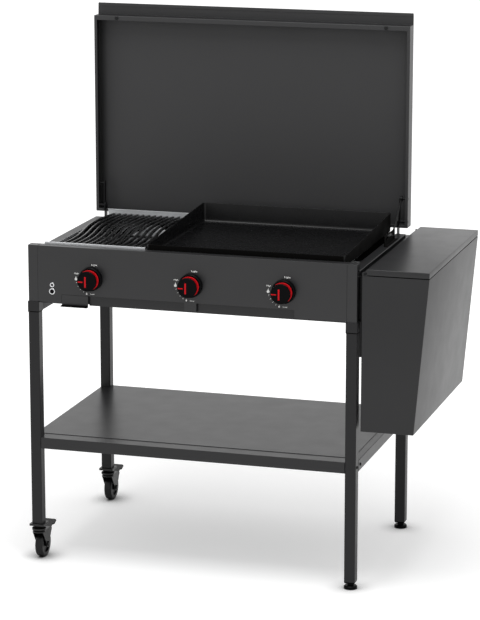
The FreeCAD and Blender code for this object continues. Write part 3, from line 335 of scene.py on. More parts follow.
def mergedCopy(node):
    shape = bmesh.new()
    shape.from_mesh(frame["nodes"][node].data)
    bmesh.ops.remove_doubles(shape, verts=shape.verts, dist=limits["weld"])
    bmesh.ops.dissolve_limit(shape, angle_limit=math.radians(limits["flat"]), verts=shape.verts,
                             edges=shape.edges)
    return shape


def meshPiece(name, shape, finish):
    mesh = bpy.data.meshes.new(name)
    shape.to_mesh(mesh)
    shape.free()
    mesh.materials.append(finish)
    return bpy.data.objects.new(name, mesh)


def smoothed(piece, angle=limits["crease"]):
    piece.data.shade_smooth()
    piece.data.set_sharp_from_angle(angle=math.radians(angle))
    return piece


def fitted(name, shape, finish, node, *replaced, angle=limits["formed"], slotName=None):
    # Unless named, the slot name passed on is the finish's own, or else that of the node it rides with
    piece = smoothed(meshPiece(name, shape, finishes[finish]), angle)
    own = finish if finish in frameSlots else slotOf[node]
    return settle(piece, bodyOf(node), slotName or own, *replaced)


def rounded(shape, edges, radius, steps):
    bmesh.ops.bevel(shape, geom=edges, offset=radius, segments=steps, affect="EDGES", profile=0.5)


def facedOut(shape, rank, up):
    # All normals agree, and the face of highest rank looks up, or else down
    bmesh.ops.recalc_face_normals(shape, faces=shape.faces)
    if (max(shape.faces, key=rank).normal.z > 0) != up:
        bmesh.ops.reverse_faces(shape, faces=shape.faces)


def walled(piece, thick, cutEdge, steps):
    # A drawn shell gets its thickness, and its cut edges are broken
    wall = piece.modifiers.new("wall", "SOLIDIFY")
    wall.thickness = thick
    wall.offset = -1
    wall.use_even_offset = True
    edge = piece.modifiers.new("edge", "BEVEL")
    edge.width = cutEdge
    edge.segments = steps
    edge.limit_method = "ANGLE"
    edge.angle_limit = math.radians(limits["cutEdge"])
    return baked(piece)


def solidBoxes(node):
    # Lowest and highest corner of each separate solid of a node
    shape = mergedCopy(node)
    waiting = set(shape.verts)
    boxes = []
    while waiting:
        edge = [waiting.pop()]
        found = []
        while edge:
            vert = edge.pop()
            found.append(vert.co.copy())
            for link in vert.link_edges:
                other = link.other_vert(vert)
                if other in waiting:
                    waiting.remove(other)
                    edge.append(other)
        boxes.append((Vector(map(min, zip(*found))), Vector(map(max, zip(*found)))))
    shape.free()
    return sorted(boxes, key=lambda box: tuple(round(v, 5) for v in box[0]))


def eased(corners, steps=5):
    # Profile with rounded corners; each corner is (radius, reach, rounding) in millimetres
    line = []
    for n, (radius, reach, rounding) in enumerate(corners):
        here = Vector((radius, reach))
        if rounding == 0:
            line.append(here * mm)
            continue
        before = (Vector(corners[n - 1][:2]) - here).normalized()
        after = (Vector(corners[(n + 1) % len(corners)][:2]) - here).normalized()
        half = before.angle(after) / 2
        middle = here + (before + after).normalized() * rounding / math.sin(half)
        first = (here + before * rounding / math.tan(half) - middle).normalized()
        last = (here + after * rounding / math.tan(half) - middle).normalized()
        for k in range(steps + 1):
            line.append((middle + first.slerp(last, k / steps) * rounding) * mm)
    return line


def turn(shape, centre, along, profile, steps, closed=False):
    # Solid of revolution: an open profile runs from pole to pole, a closed one makes a ring
    along = Vector(along)
    side = Vector((0, 0, 1)) if abs(along.z) < 0.5 else Vector((1, 0, 0))
    other = along.cross(side)
    rings = []
    for radius, reach in profile:
        middle = centre + along * reach
        if radius < 1e-7:
            rings.append([shape.verts.new(middle)])
        else:
            rings.append([shape.verts.new(middle + (side * math.cos(a) + other * math.sin(a)) * radius)
                          for a in (2 * math.pi * n / steps for n in range(steps))])
    made = []
    for low, high in zip(rings, rings[1:] + (rings[:1] if closed else [])):
        for n in range(max(len(low), len(high))):
            m = n + 1
            corners = [low[n % len(low)], low[m % len(low)], high[m % len(high)], high[n % len(high)]]
            made.append(shape.faces.new(list(dict.fromkeys(corners))))
    bmesh.ops.recalc_face_normals(shape, faces=made)


def bar(shape, low, high, rounding):
    # Bar between two corners, with its edges eased
    made = bmesh.ops.create_cube(shape, size=1)["verts"]
    for vert in made:
        vert.co = Vector(h if v > 0 else l for v, l, h in zip(vert.co, low, high))
    rounded(shape, list({edge for vert in made for edge in vert.link_edges}), rounding, 2)


def newRule(name, sizes):
    # Empty node tree with a named input for each size
    tree = bpy.data.node_groups.new(name, "GeometryNodeTree")
    tree.interface.new_socket("Geometry", in_out="INPUT", socket_type="NodeSocketGeometry")
    for label, kind in sizes.items():
        tree.interface.new_socket(label, in_out="INPUT", socket_type="NodeSocket" + kind)
    tree.interface.new_socket("Geometry", in_out="OUTPUT", socket_type="NodeSocketGeometry")
    return tree, addNode(tree, "NodeGroupInput").outputs


def closeRule(tree, geometry, finish):
    whole = addNode(tree, "GeometryNodeRealizeInstances", {"Geometry": geometry})
    coated = addNode(tree, "GeometryNodeSetMaterial", {
        "Geometry": whole.outputs["Geometry"], "Material": finish})
    addNode(tree, "NodeGroupOutput", {"Geometry": coated.outputs["Geometry"]})


def ruled(name, tree, sizes, seed):
    # A mesh made by a node tree, its inputs set by identifier before the first evaluation
    piece = bpy.data.objects.new(name, seed)
    rule = piece.modifiers.new("rule", "NODES")
    rule.node_group = tree
    for item in tree.interface.items_tree:
        if item.in_out == "INPUT" and item.name in sizes:
            rule[item.identifier] = sizes[item.name]
    return baked(piece)


# Screws and ticks: one shape set on points, each point with its own turn
placedRule, given = newRule("shapeOnPoints", {"Shape": "Object", "Finish": "Material"})
turnOf = addNode(placedRule, "GeometryNodeInputNamedAttribute", {"Name": "turn"}, data_type="FLOAT_VECTOR")
shapeOf = addNode(placedRule, "GeometryNodeObjectInfo", {"Object": given["Shape"]})
spread = addNode(placedRule, "GeometryNodeInstanceOnPoints", {
    "Points": given["Geometry"], "Instance": shapeOf.outputs["Geometry"],
    "Rotation": turnOf.outputs["Attribute"]})
closeRule(placedRule, spread.outputs["Instances"], given["Finish"])


def placed(name, shape, places, finish):
    # places are (point, facing) pairs: the shape's z axis turns to the facing, or all its axes to a matrix
    seed = bpy.data.meshes.new(name + "_points")
    seed.from_pydata([point for point, facing in places], [], [])
    turns = seed.attributes.new("turn", "FLOAT_VECTOR", "POINT")
    for n, (point, facing) in enumerate(places):
        turned = facing if isinstance(facing, Matrix) else facing.to_track_quat("Z", "Y")
        turns.data[n].vector = turned.to_euler()
    head = smoothed(meshPiece(name + "_shape", shape, finish))
    piece = ruled(name, placedRule, {"Shape": head, "Finish": finish}, seed)
    bpy.data.objects.remove(head)
    return piece


def softened(node, name, sizes):
    # Copy of a CAD node with rounded bends and broken cut edges
    shape = mergedCopy(node)
    others, height, chosen = secondFinish.get(node, ([], None, None))
    if others:
        bmesh.ops.bisect_plane(shape, geom=shape.verts[:] + shape.edges[:] + shape.faces[:],
                               plane_co=(0, 0, height), plane_no=(0, 0, 1))
    weight = shape.edges.layers.float.new("bevel_weight_edge")
    for edge in shape.edges:
        if len(edge.link_faces) != 2 or edge.calc_face_angle(0) < math.radians(limits["crease"]):
            continue
        reach = min(face.calc_area() / max(edge.calc_length(), 1e-9) for face in edge.link_faces)
        if reach > sizes["foldMm"] * mm:
            edge[weight] = 1.0 if edge.is_convex else sizes["insideShare"]
        else:
            edge[weight] = sizes["cutShare"]
    piece = meshPiece(name, shape, finishOf[node])
    if others:
        for other in others:
            piece.data.materials.append(finishes[other])
        for face in piece.data.polygons:
            face.material_index = int(chosen(face.center, face.normal))
    rounding = piece.modifiers.new("rounding", "BEVEL")
    rounding.limit_method = "WEIGHT"
    rounding.width = sizes["bendMm"] * mm
    rounding.segments = sizes["steps"]
    rounding.use_clamp_overlap = False
    rounding.miter_outer = "MITER_ARC"
    flat = piece.modifiers.new("flat", "WEIGHTED_NORMAL")
    flat.keep_sharp = True
    piece.data.shade_smooth()
    baked(piece)
    settle(piece, bodyOf(node), slotOf[node], node)


# Folded sheet, tube and small steel work, rounded from the solids
bentSheet = dict(bendMm=1.6, foldMm=3.0, insideShare=0.3, cutShare=0.2, steps=3)
tubeWork = dict(bendMm=0.5, foldMm=1.0, insideShare=0.5, cutShare=0.6, steps=2)
smallWork = dict(bendMm=0.5, foldMm=0.5, insideShare=0.5, cutShare=0.5, steps=2)
softenedNodes = [
    (bentSheet, ["front_panel", "left_side_panel", "right_side_panel", "rear_panel"]),
    (tubeWork, ["shelf_panel"]), (bentSheet, ["shelf_rails", "lid_shell"]), (smallWork, ["side_box_hangers"]),
    (tubeWork, [*legs, "leg_sleeves", "corner_posts"]),
    (smallWork, ["leg_plugs", "hinge_brackets", "lid_arms", "stay_guide", "grate_frame", "heat_shield",
                 "grease_tray", "drip_pan", "heat_tent", "cross_bars", "gas_manifold", "igniter_module",
                 "caster_mounts", *castors]),
]
for sizes, nodes in softenedNodes:
    for node in nodes:
        softened(node, node + "_skin", sizes)
print("softened", sum(len(nodes) for sizes, nodes in softenedNodes))

# Hem turned up along the inner edge of each side panel's lower flange
hemLook = dict(thick=1.2, tall=28.0, rounding=0.3, endGap=0.2)


def buildHem(side, look):
    panel = side + "_side_panel"
    low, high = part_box(panel)
    sleeves = [box for box in solidBoxes("leg_sleeves") if (box[0].x < 0) == (side == "left")]
    first = min(box[1].y for box in sleeves) + look["endGap"] * mm
    last = max(box[0].y for box in sleeves) - look["endGap"] * mm
    thick = look["thick"] * mm
    edge = high.x - thick if side == "left" else low.x
    shape = bmesh.new()
    bar(shape, Vector((edge, first, low.z)), Vector((edge + thick, last, low.z + look["tall"] * mm)),
        look["rounding"] * mm)
    fitted(side + "_panel_hem", shape, "stand_coat", panel, angle=limits["crease"])


for side in sides:
    buildHem(side, hemLook)
print("hems")

# Wavy grate: bars swung left and right along their length, welded to ties
grateLook = dict(bars=15, barWide=7.0, barTall=9.0, barRounding=2.8, halfWaves=2.0, sag=13.0, steps=73, ties=3,
                 tieWide=12.0, tieTall=5.0, tieRounding=1.0, tieOnBar=10.0, smoothTo=50)


def buildGrate(look):
    kinds = {"Half Waves": "Float", "Sag": "Float", "Steps": "Int", "Finish": "Material"}
    for label in ("Bar", "Tie"):
        kinds.update({label + "s": "Int", "First " + label: "Vector", label + " Step": "Vector",
                      label + " Length": "Vector"})
        kinds.update({label + side: "Float" for side in (" Wide", " Tall", " Rounding")})
    tree, given = newRule("waveGrate", kinds)
    line = addNode(tree, "GeometryNodeCurvePrimitiveLine", {"End": given["Bar Length"]})
    fine = addNode(tree, "GeometryNodeResampleCurve", {"Curve": line.outputs["Curve"], "Count": given["Steps"]})
    share = addNode(tree, "GeometryNodeSplineParameter")
    phase = addNode(tree, "ShaderNodeMath", {
        0: share.outputs["Factor"], 1: given["Half Waves"]}, operation="MULTIPLY")
    angle = addNode(tree, "ShaderNodeMath", {0: phase.outputs["Value"], 1: math.pi}, operation="MULTIPLY")
    sine = addNode(tree, "ShaderNodeMath", {0: angle.outputs["Value"]}, operation="SINE")
    swing = addNode(tree, "ShaderNodeMath", {0: sine.outputs["Value"], 1: given["Sag"]}, operation="MULTIPLY")
    aside = addNode(tree, "ShaderNodeCombineXYZ", {"X": swing.outputs["Value"]})
    wavy = addNode(tree, "GeometryNodeSetPosition", {
        "Geometry": fine.outputs["Curve"], "Offset": aside.outputs["Vector"]})
    straight = addNode(tree, "GeometryNodeCurvePrimitiveLine", {"End": given["Tie Length"]})
    sets = []
    for label, path in (("Bar", wavy.outputs["Geometry"]), ("Tie", straight.outputs["Curve"])):
        upright = addNode(tree, "GeometryNodeSetCurveNormal", {"Curve": path}, mode="Z_UP")
        outline = addNode(tree, "GeometryNodeCurvePrimitiveQuadrilateral", {
            "Width": given[label + " Wide"], "Height": given[label + " Tall"]})
        eases = addNode(tree, "GeometryNodeFilletCurve", {
            "Curve": outline.outputs["Curve"], "Count": 4, "Radius": given[label + " Rounding"]}, mode="POLY")
        rod = addNode(tree, "GeometryNodeCurveToMesh", {
            "Curve": upright.outputs["Curve"], "Profile Curve": eases.outputs["Curve"], "Fill Caps": True})
        row = addNode(tree, "GeometryNodeMeshLine", {
            "Count": given[label + "s"], "Start Location": given["First " + label],
            "Offset": given[label + " Step"]})
        sets.append(addNode(tree, "GeometryNodeInstanceOnPoints", {
            "Points": row.outputs["Mesh"], "Instance": rod.outputs["Mesh"]}))
    both = addNode(tree, "GeometryNodeJoinGeometry")
    for one in sets:
        tree.links.new(one.outputs["Instances"], both.inputs["Geometry"])
    closeRule(tree, both.outputs["Geometry"], given["Finish"])
    low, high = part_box("grate")
    crossLow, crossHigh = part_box("cross_bars")
    tieFirst = crossLow.y + look["tieOnBar"] * mm
    tieLast = crossHigh.y - look["tieOnBar"] * mm
    inset = (look["sag"] + look["barWide"] / 2) * mm
    barZ = high.z - look["barTall"] * mm / 2
    sizes = {"Bars": look["bars"], "First Bar": (low.x + inset, low.y, barZ), "Steps": look["steps"],
             "Bar Step": ((high.x - low.x - 2 * inset) / (look["bars"] - 1), 0, 0),
             "Bar Length": (0, high.y - low.y, 0), "Half Waves": look["halfWaves"], "Sag": look["sag"] * mm,
             "Ties": look["ties"], "First Tie": (low.x, tieFirst, low.z + look["tieTall"] * mm / 2),
             "Tie Step": (0, (tieLast - tieFirst) / (look["ties"] - 1), 0),
             "Tie Length": (high.x - low.x, 0, 0), "Finish": finishes["grate_enamel"]}
    for label in ("Bar", "Tie"):
        for side in ("Wide", "Tall", "Rounding"):
            sizes[label + " " + side] = look[label.lower() + side] * mm
    piece = ruled("grate_waves", tree, sizes, bpy.data.meshes.new("grate_seed"))
    smoothed(piece, look["smoothTo"])
    settle(piece, bodyOf("grate"), "black_enamel", "grate")


buildGrate(grateLook)
print("grate", grateLook["bars"], "bars")

# Griddle: pressed pan with rounded bends, on four feet
griddleLook = dict(plate=3.0, bend=7.0, bendSteps=6, rim=1.0, rimSteps=3, frontWall=30.0, footRadius=6.0,
                   footTall=4.2, footEdge=0.8, footSteps=24, footFromSide=20.0, footOnBar=10.0)


def panShell(shape, low, high, frontTop):
    # Five sheets of an open pan, drawn at its inside
    corners = {}
    for x, xv in ((0, low.x), (1, high.x)):
        for y, yv in ((0, low.y), (1, high.y)):
            corners[x, y, 0] = shape.verts.new((xv, yv, low.z))
            corners[x, y, 1] = shape.verts.new((xv, yv, high.z if y else frontTop))
    shape.faces.new([corners[0, 0, 0], corners[1, 0, 0], corners[1, 1, 0], corners[0, 1, 0]])
    ring = [(0, 0), (1, 0), (1, 1), (0, 1)]
    for here, there in zip(ring, ring[1:] + ring[:1]):
        shape.faces.new([corners[(*here, 0)], corners[(*here, 1)], corners[(*there, 1)], corners[(*there, 0)]])


def buildGriddle(look):
    low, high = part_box("griddle")
    plate = look["plate"] * mm
    crossLow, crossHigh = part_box("cross_bars")
    footTop = low.z + look["footTall"] * mm
    shape = bmesh.new()
    inner = Vector((plate, plate, 0))
    panShell(shape, Vector((low.x, low.y, footTop + plate)) + inner, high - inner,
             footTop + plate + look["frontWall"] * mm)
    bends = [edge for edge in shape.edges if len(edge.link_faces) == 2]
    rounded(shape, bends, look["bend"] * mm, look["bendSteps"])
    facedOut(shape, lambda face: face.calc_area(), True)
    pan = meshPiece("griddle_pan", shape, finishes["black_enamel"])
    walled(pan, plate, look["rim"] * mm, look["rimSteps"])
    shape = bmesh.new()
    shape.from_mesh(pan.data)
    bpy.data.objects.remove(pan)
    radius, tall = look["footRadius"], look["footTall"]
    foot = eased([(0, 0, 0), (radius, 0, look["footEdge"]), (radius, tall, 0), (0, tall, 0)])
    for x in (low.x + look["footFromSide"] * mm, high.x - look["footFromSide"] * mm):
        for y in (crossLow.y + look["footOnBar"] * mm, crossHigh.y - look["footOnBar"] * mm):
            turn(shape, Vector((x, y, low.z)), (0, 0, 1), foot, look["footSteps"])
    finished = fitted("griddle_plate_skin", shape, "black_enamel", "griddle", "griddle", angle=limits["crease"])
    # Painted shade: the pan's outer faces and underside take the near-black shade finish
    finished.data.materials.append(finishes["shade_black"])
    half = plate / 2
    for face in finished.data.polygons:
        x, y, z = face.center
        across = low.x + half < x < high.x - half and low.y + half < y < high.y - half
        face.material_index = 0 if across and z > footTop + half else 1


buildGriddle(griddleLook)
print("griddle")

# Control knobs: a dished cap with a red bar and pointer, a red ring at its foot, a bezel on the panel
knobLook = dict(rim=27.0, base=21.5, dish=1.0, dishSlope=0.5, rimWide=1.8, rimDeep=6.0, rimLean=0.2, edge=2.0,
                ring=3.5, ringGap=0.05, shank=4.0, steps=96, raised=0.7, sunk=0.3, markEdge=0.25,
                pointer=(-25.0, -11.0, -3.7, -0.5), mark=(-6.4, -1.9, -16.5, 12.5), ringInner=21.8,
                ringOuter=27.1, bezel=32.0, bezelBore=6.0, bezelChamfer=2.0)


def buildKnob(side, look):
    node, band = "knob_" + side, "knob_ring_" + side
    low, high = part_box(node)
    foot = Vector(((low.x + high.x) / 2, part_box(band)[1].y, (low.z + high.z) / 2))
    front = (foot.y - low.y) / mm
    back = (foot.y - high.y) / mm
    face = front - look["dish"]
    rim, base, shank, lean = look["rim"], look["base"], look["shank"], look["rimLean"]
    inner = rim - look["rimWide"]
    shape = bmesh.new()
    turn(shape, foot, (0, -1, 0), eased([
        (0, face, 0), (inner - look["dishSlope"], face, 0.3), (inner, front - lean, 0.3),
        (rim, front - lean, look["edge"]), (rim - lean, front - look["rimDeep"], 0.6),
        (base, look["ring"], 0.5), (base, 0, 0.3), (shank, 0, 0.5), (shank, back, 0.5), (0, back, 0)]),
        look["steps"])
    fitted("knob_cap_" + side, shape, "black_plastic", node, node)
    shape = bmesh.new()
    for x0, x1, z0, z1 in (look["pointer"], look["mark"]):
        bar(shape, foot + Vector((x0, -face - look["raised"], z0)) * mm,
            foot + Vector((x1, look["sunk"] - face, z1)) * mm, look["markEdge"] * mm)
    fitted("knob_mark_" + side, shape, "red_plastic", node)
    shape = bmesh.new()
    inner, outer, top = look["ringInner"], look["ringOuter"], look["ring"] - look["ringGap"]
    turn(shape, foot, (0, -1, 0), eased([
        (inner, 0, 0.2), (outer, 0, 0.5), (outer, top, 0.9), (inner, top, 0.2)]), look["steps"], True)
    fitted("knob_band_" + side, shape, "red_plastic", band, band)
    return foot


knobFeet = [buildKnob(side, knobLook) for side in ("left", "middle", "right")]


def buildBezels(look):
    thick = (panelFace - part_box("knob_bezels")[0].y) / mm
    wide, bore, chamfer = look["bezel"], look["bezelBore"], look["bezelChamfer"]
    shape = bmesh.new()
    for foot in knobFeet:
        turn(shape, Vector((foot.x, panelFace, foot.z)), (0, -1, 0), eased([
            (bore, 0, 0.2), (wide, 0, 0.2), (wide, thick - chamfer, 0.8), (wide - chamfer, thick, 0.8),
            (bore, thick, 0.4)]), look["steps"], True)
    fitted("knob_bezel_set", shape, "black_plastic", "knob_bezels", "knob_bezels")


buildBezels(knobLook)
print("knobs", len(knobFeet))

# Igniter button in a bright ring, with a small lamp in a ring above it
buttonLook = dict(ring=8.5, ringBore=5.8, ringThick=3.0, lampRing=6.3, lampBore=3.9, lampThick=2.0,
                  lensSunk=0.7, lensSlope=0.5, cap=5.5, dish=0.8, capSlope=1.4, capDrop=0.3, steps=48)


def buildButton(look):
    low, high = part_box("button_bezels")
    x = (low.x + high.x) / 2
    button = Vector((x, panelFace, low.z + look["ring"] * mm))
    lamp = Vector((x, panelFace, high.z - look["lampRing"] * mm))
    bore, steps = look["lampBore"], look["steps"]
    shape = bmesh.new()
    for centre, outer, inner, thick in ((button, look["ring"], look["ringBore"], look["ringThick"]),
                                        (lamp, look["lampRing"], bore, look["lampThick"])):
        turn(shape, centre, (0, -1, 0), eased([
            (inner, 0, 0.1), (outer, 0, 0.1), (outer, thick, 0.9), (inner, thick, 0.5)]), steps, True)
    fitted("button_ring_pair", shape, "chrome", "button_bezels", "button_bezels")
    shape = bmesh.new()
    reach = look["lampThick"] - look["lensSunk"]
    turn(shape, lamp, (0, -1, 0), eased([
        (0, reach, 0), (bore, reach - look["lensSlope"], 0.2), (bore, 0, 0), (0, 0, 0)]), steps)
    fitted("indicator_lens", shape, "lens", "button_bezels", slotName="black_plastic")
    low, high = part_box("igniter_button")
    cap, reach, back = look["cap"], (panelFace - low.y) / mm, (panelFace - high.y) / mm
    shape = bmesh.new()
    turn(shape, button, (0, -1, 0), eased([
        (0, reach - look["dish"], 0), (cap - look["capSlope"], reach - look["capDrop"], 1.5), (cap, reach, 0.5),
        (cap, back, 0.4), (0, back, 0)]), steps)
    fitted("igniter_cap", shape, "black_plastic", "igniter_button", "igniter_button")


buildButton(buttonLook)

# White marks printed round each knob: words, flames and ticks, in millimetres from the knob's middle
printLook = dict(words=[("Light", 9.0, 37.3, 16.8), ("High", -42.0, 11.6, 12.8), ("Low", 3.0, -42.0, 12.4)],
                 bold=0.03, low=0.72, flames=[(-43.8, -0.8, 12.4), (-13.6, -41.0, 7.2)], ink=0.1, ticks=4,
                 tickFrom=197.0, tickStep=14.0, tickRadius=43.8, tickLong=3.4, tickWide=1.0, tickEdge=0.02,
                 flameTall=12.5,
                 flame=[(0.2, 6.25), (0.9, 4.2), (1.1, 1.8), (2.5, 0.4), (3.7, -1.5), (4, -3.1), (3.2, -5.0),
                        (1.7, -6.0), (0, -6.25), (-1.7, -6.0), (-3.2, -5.0), (-4, -3.1), (-3.7, -1.5),
                        (-2.4, 0.2), (-1.2, 1.4), (-0.7, 3.8)])


def wordMesh(text, bold):
    # Outline of a word as a flat mesh, its own width scaled to 1
    curve = bpy.data.curves.new("word_" + text, "FONT")
    curve.body = text
    curve.align_x = curve.align_y = "CENTER"
    curve.resolution_u = 4
    curve.offset = bold
    holder = bpy.data.objects.new("word_" + text, curve)
    flat = evaluated(holder)
    bpy.data.objects.remove(holder)
    xs = [vert.co.x for vert in flat.vertices]
    ys = [vert.co.y for vert in flat.vertices]
    flat.transform(Matrix.Scale(1 / (max(xs) - min(xs)), 4)
                   @ Matrix.Translation((-(max(xs) + min(xs)) / 2, -(max(ys) + min(ys)) / 2, 0)))
    return flat


def buildPrint(look):
    raised = Vector((0, -look["ink"] * mm, 0))
    upright = Matrix.Rotation(math.radians(90), 4, "X")
    shape = bmesh.new()
    for text, x, z, wide in look["words"]:
        flat = wordMesh(text, look["bold"])
        for foot in knobFeet:
            place = Vector((foot.x + x * mm, panelFace, foot.z + z * mm))
            size = Matrix.Diagonal((wide * mm, wide * mm * look["low"], mm, 1))
            copy = flat.copy()
            copy.transform(Matrix.Translation(place) @ upright @ size)
            shape.from_mesh(copy)
    for x, z, tall in look["flames"]:
        for foot in knobFeet:
            scale = tall / look["flameTall"] * mm
            shape.faces.new([
                shape.verts.new((foot.x + x * mm + px * scale, panelFace, foot.z + z * mm + pz * scale))
                for px, pz in reversed(look["flame"])])
    for item in bmesh.ops.extrude_face_region(shape, geom=shape.faces[:])["geom"]:
        if isinstance(item, bmesh.types.BMVert):
            item.co += raised
    bmesh.ops.recalc_face_normals(shape, faces=shape.faces)
    settle(meshPiece("panel_words", shape, finishes["print_ink"]), bodyOf("front_panel"), "print_ink")
    shape = bmesh.new()
    bar(shape, Vector((-look["tickLong"] / 2, -look["tickWide"] / 2, 0)) * mm,
        Vector((look["tickLong"] / 2, look["tickWide"] / 2, look["ink"])) * mm, look["tickEdge"] * mm)
    places = []
    for foot in knobFeet:
        for n in range(look["ticks"]):
            a = math.radians(look["tickFrom"] + look["tickStep"] * n)
            out = Vector((math.cos(a), 0, math.sin(a)))
            across = Vector((0, -1, 0)).cross(out)
            turned = Matrix((out, across, (0, -1, 0))).transposed()
            places.append((Vector((foot.x, panelFace, foot.z)) + out * look["tickRadius"] * mm, turned))
    ticks = placed("panel_ticks", shape, places, finishes["print_ink"])
    settle(ticks, bodyOf("front_panel"), "print_ink")


buildPrint(printLook)
print("panel print")

# Side box: an open box of folded sheet and a lid folded down on four sides
boxLook = dict(wall=1.2, bend=1.8, bendSteps=4, edge=0.3, edgeSteps=2, bottomWide=143.0, seam=2.4, rim=15.5,
               inset=15.3, slopeFoot=3.9, slopeDrop=11.6, rimCut=6.0, earRoom=3.8, earGap=0.3, earThick=2.0,
               earReach=5.0, earRise=4.4, earFoot=10.0, earEdge=0.4, backFoot=8.0, backEdge=0.3, pin=2.0,
               pinFit=0.06, pinHead=4.0, pinHeadTall=2.0, pinSteps=32, drillOver=50.0, drillSteps=48)


def sheetPiece(name, shape, look):
    # Shell drawn at its outside becomes sheet metal with rounded bends
    folds = [edge for edge in shape.edges
             if len(edge.link_faces) == 2 and edge.calc_face_angle() > math.radians(limits["fold"])]
    rounded(shape, folds, look["bend"] * mm, look["bendSteps"])
    piece = meshPiece(name, shape, finishes["stand_coat"])
    return walled(piece, look["wall"] * mm, look["edge"] * mm, look["edgeSteps"])


def buildSideBox(look):
    low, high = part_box("side_box_body")
    pinLow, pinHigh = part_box("side_box_pins")
    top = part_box("side_box_lid")[1].z
    wall, gap = look["wall"] * mm, look["earGap"] * mm
    wallTop = top - (look["rim"] + look["seam"]) * mm
    axis = Vector(((pinLow.x + pinHigh.x) / 2, 0, (pinLow.z + pinHigh.z) / 2))
    outline = [(low.x, wallTop), (low.x, low.z), (low.x + look["bottomWide"] * mm, low.z), (high.x, wallTop)]
    shape = bmesh.new()
    front, back = [[shape.verts.new((x, y, z)) for x, z in outline] for y in (low.y, high.y)]
    shape.faces.new(front)
    shape.faces.new(back[::-1])
    for n in range(3):
        shape.faces.new([front[n + 1], front[n], back[n], back[n + 1]])
    facedOut(shape, lambda face: -face.calc_center_median().z, False)
    body = sheetPiece("side_box_shell", shape, look)
    shape = bmesh.new()
    shape.from_mesh(body.data)
    bpy.data.objects.remove(body)
    for y, way in ((low.y, 1), (high.y, -1)):
        inside = y + way * (wall + gap)
        ys = sorted((inside, inside + way * look["earThick"] * mm))
        bar(shape, Vector((low.x + wall, ys[0], wallTop - look["earFoot"] * mm)),
            Vector((axis.x + look["earReach"] * mm, ys[1], axis.z + look["earRise"] * mm)),
            look["earEdge"] * mm)
    bar(shape, Vector((low.x, low.y + wall + gap, wallTop - look["backFoot"] * mm)),
        Vector((low.x + wall, high.y - wall - gap, axis.z)), look["backEdge"] * mm)
    fitted("side_box_sheet", shape, "stand_coat", "side_box_body", "side_box_body")
    shape = bmesh.new()
    fold = low.x + look["inset"] * mm
    footX, footZ = low.x + look["slopeFoot"] * mm, top - look["slopeDrop"] * mm
    rimLow = top - look["rim"] * mm
    outline = [(fold, top), (footX, footZ), (low.x + look["rimCut"] * mm, rimLow), (high.x, rimLow),
               (high.x, top)]
    loops = []
    for y, way in ((low.y, 1), (high.y, -1)):
        rim = [shape.verts.new((x, y, z)) for x, z in outline]
        room = y + way * look["earRoom"] * mm
        slope = [shape.verts.new((fold, room, top)), shape.verts.new((footX, room, footZ))]
        shape.faces.new(rim)
        loops.append((rim, slope))
    (front, frontSlope), (back, backSlope) = loops
    shape.faces.new([front[0], front[4], back[4], back[0], backSlope[0], frontSlope[0]])
    shape.faces.new([frontSlope[0], backSlope[0], backSlope[1], frontSlope[1]])
    shape.faces.new([front[4], front[3], back[3], back[4]])
    facedOut(shape, lambda face: face.calc_area(), True)
    lid = sheetPiece("side_box_cover", shape, look)
    shape = bmesh.new()
    over, bore = look["drillOver"] * mm, (look["pin"] + look["pinFit"]) * mm
    long = high.y - low.y + 2 * over
    turn(shape, Vector((axis.x, low.y - over, axis.z)), (0, 1, 0), [(0, 0), (bore, 0), (bore, long), (0, long)],
         look["drillSteps"])
    drill = linked(meshPiece("pin_drill", shape, finishes["stand_coat"]))
    hole = lid.modifiers.new("hole", "BOOLEAN")
    hole.object = drill
    baked(lid)
    bpy.data.objects.remove(drill)
    lid.data.materials.clear()
    lid.data.materials.append(finishes["stand_coat"])
    settle(smoothed(lid, limits["formed"]), bodyOf("side_box_lid"), slotOf["side_box_lid"], "side_box_lid")
    shape = bmesh.new()
    depth = (look["wall"] + look["earGap"] + look["earThick"]) * mm
    pin, head, headTall = look["pin"], look["pinHead"], look["pinHeadTall"]
    for y, outside, way in ((low.y, pinLow.y, 1), (high.y, pinHigh.y, -1)):
        long = abs(y + way * depth - outside) / mm
        turn(shape, Vector((axis.x, outside, axis.z)), (0, way, 0), eased([
            (0, 0, 0), (head, 0, 1.2), (head, headTall, 0.2), (pin, headTall, 0), (pin, long, 0.3),
            (0, long, 0)]), look["pinSteps"])
    fitted("side_box_rivets", shape, "black_coat", "side_box_pins", "side_box_pins")


buildSideBox(boxLook)
print("side box")

# Screws that hold the shelf rails to the legs: pan heads with a socket
screwLook = dict(head=4.0, headTall=2.4, socket=1.7, socketDeep=1.3, shank=2.0, long=9.0, steps=24)


def buildScrews(look):
    middle = sum(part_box("shelf_rails"), Vector()) / 2
    places = []
    for low, high in solidBoxes("shelf_screws"):
        size = high - low
        axis = max(range(3), key=lambda n: size[n])
        point = (low + high) / 2
        way = 1 if point[axis] > middle[axis] else -1
        facing = Vector()
        facing[axis] = way
        point[axis] = (high if way > 0 else low)[axis] - way * look["headTall"] * mm
        places.append((point, facing))
    shape = bmesh.new()
    tall, head, socket, shank, long = (look[key] for key in ("headTall", "head", "socket", "shank", "long"))
    floor = tall - look["socketDeep"]
    turn(shape, Vector(), (0, 0, 1), eased([
        (0, floor, 0), (socket, floor, 0.2), (socket, tall, 0.2), (head, tall, 1.2), (head, 0, 0.2),
        (shank, 0, 0), (shank, -long, 0.4), (0, -long, 0)]), look["steps"])
    screws = placed("shelf_screw_set", shape, places, finishes["black_coat"])
    settle(screws, bodyOf("shelf_screws"), "black_coat", "shelf_screws")
    return len(places)


print("screws", buildScrews(screwLook))

# CAD nodes that stay as they are take a finish
for node, thing in frame["nodes"].items():
    if not thing.hide_render:
        thing.data.materials.clear()
        thing.data.materials.append(finishOf[node])
        smoothed(thing)

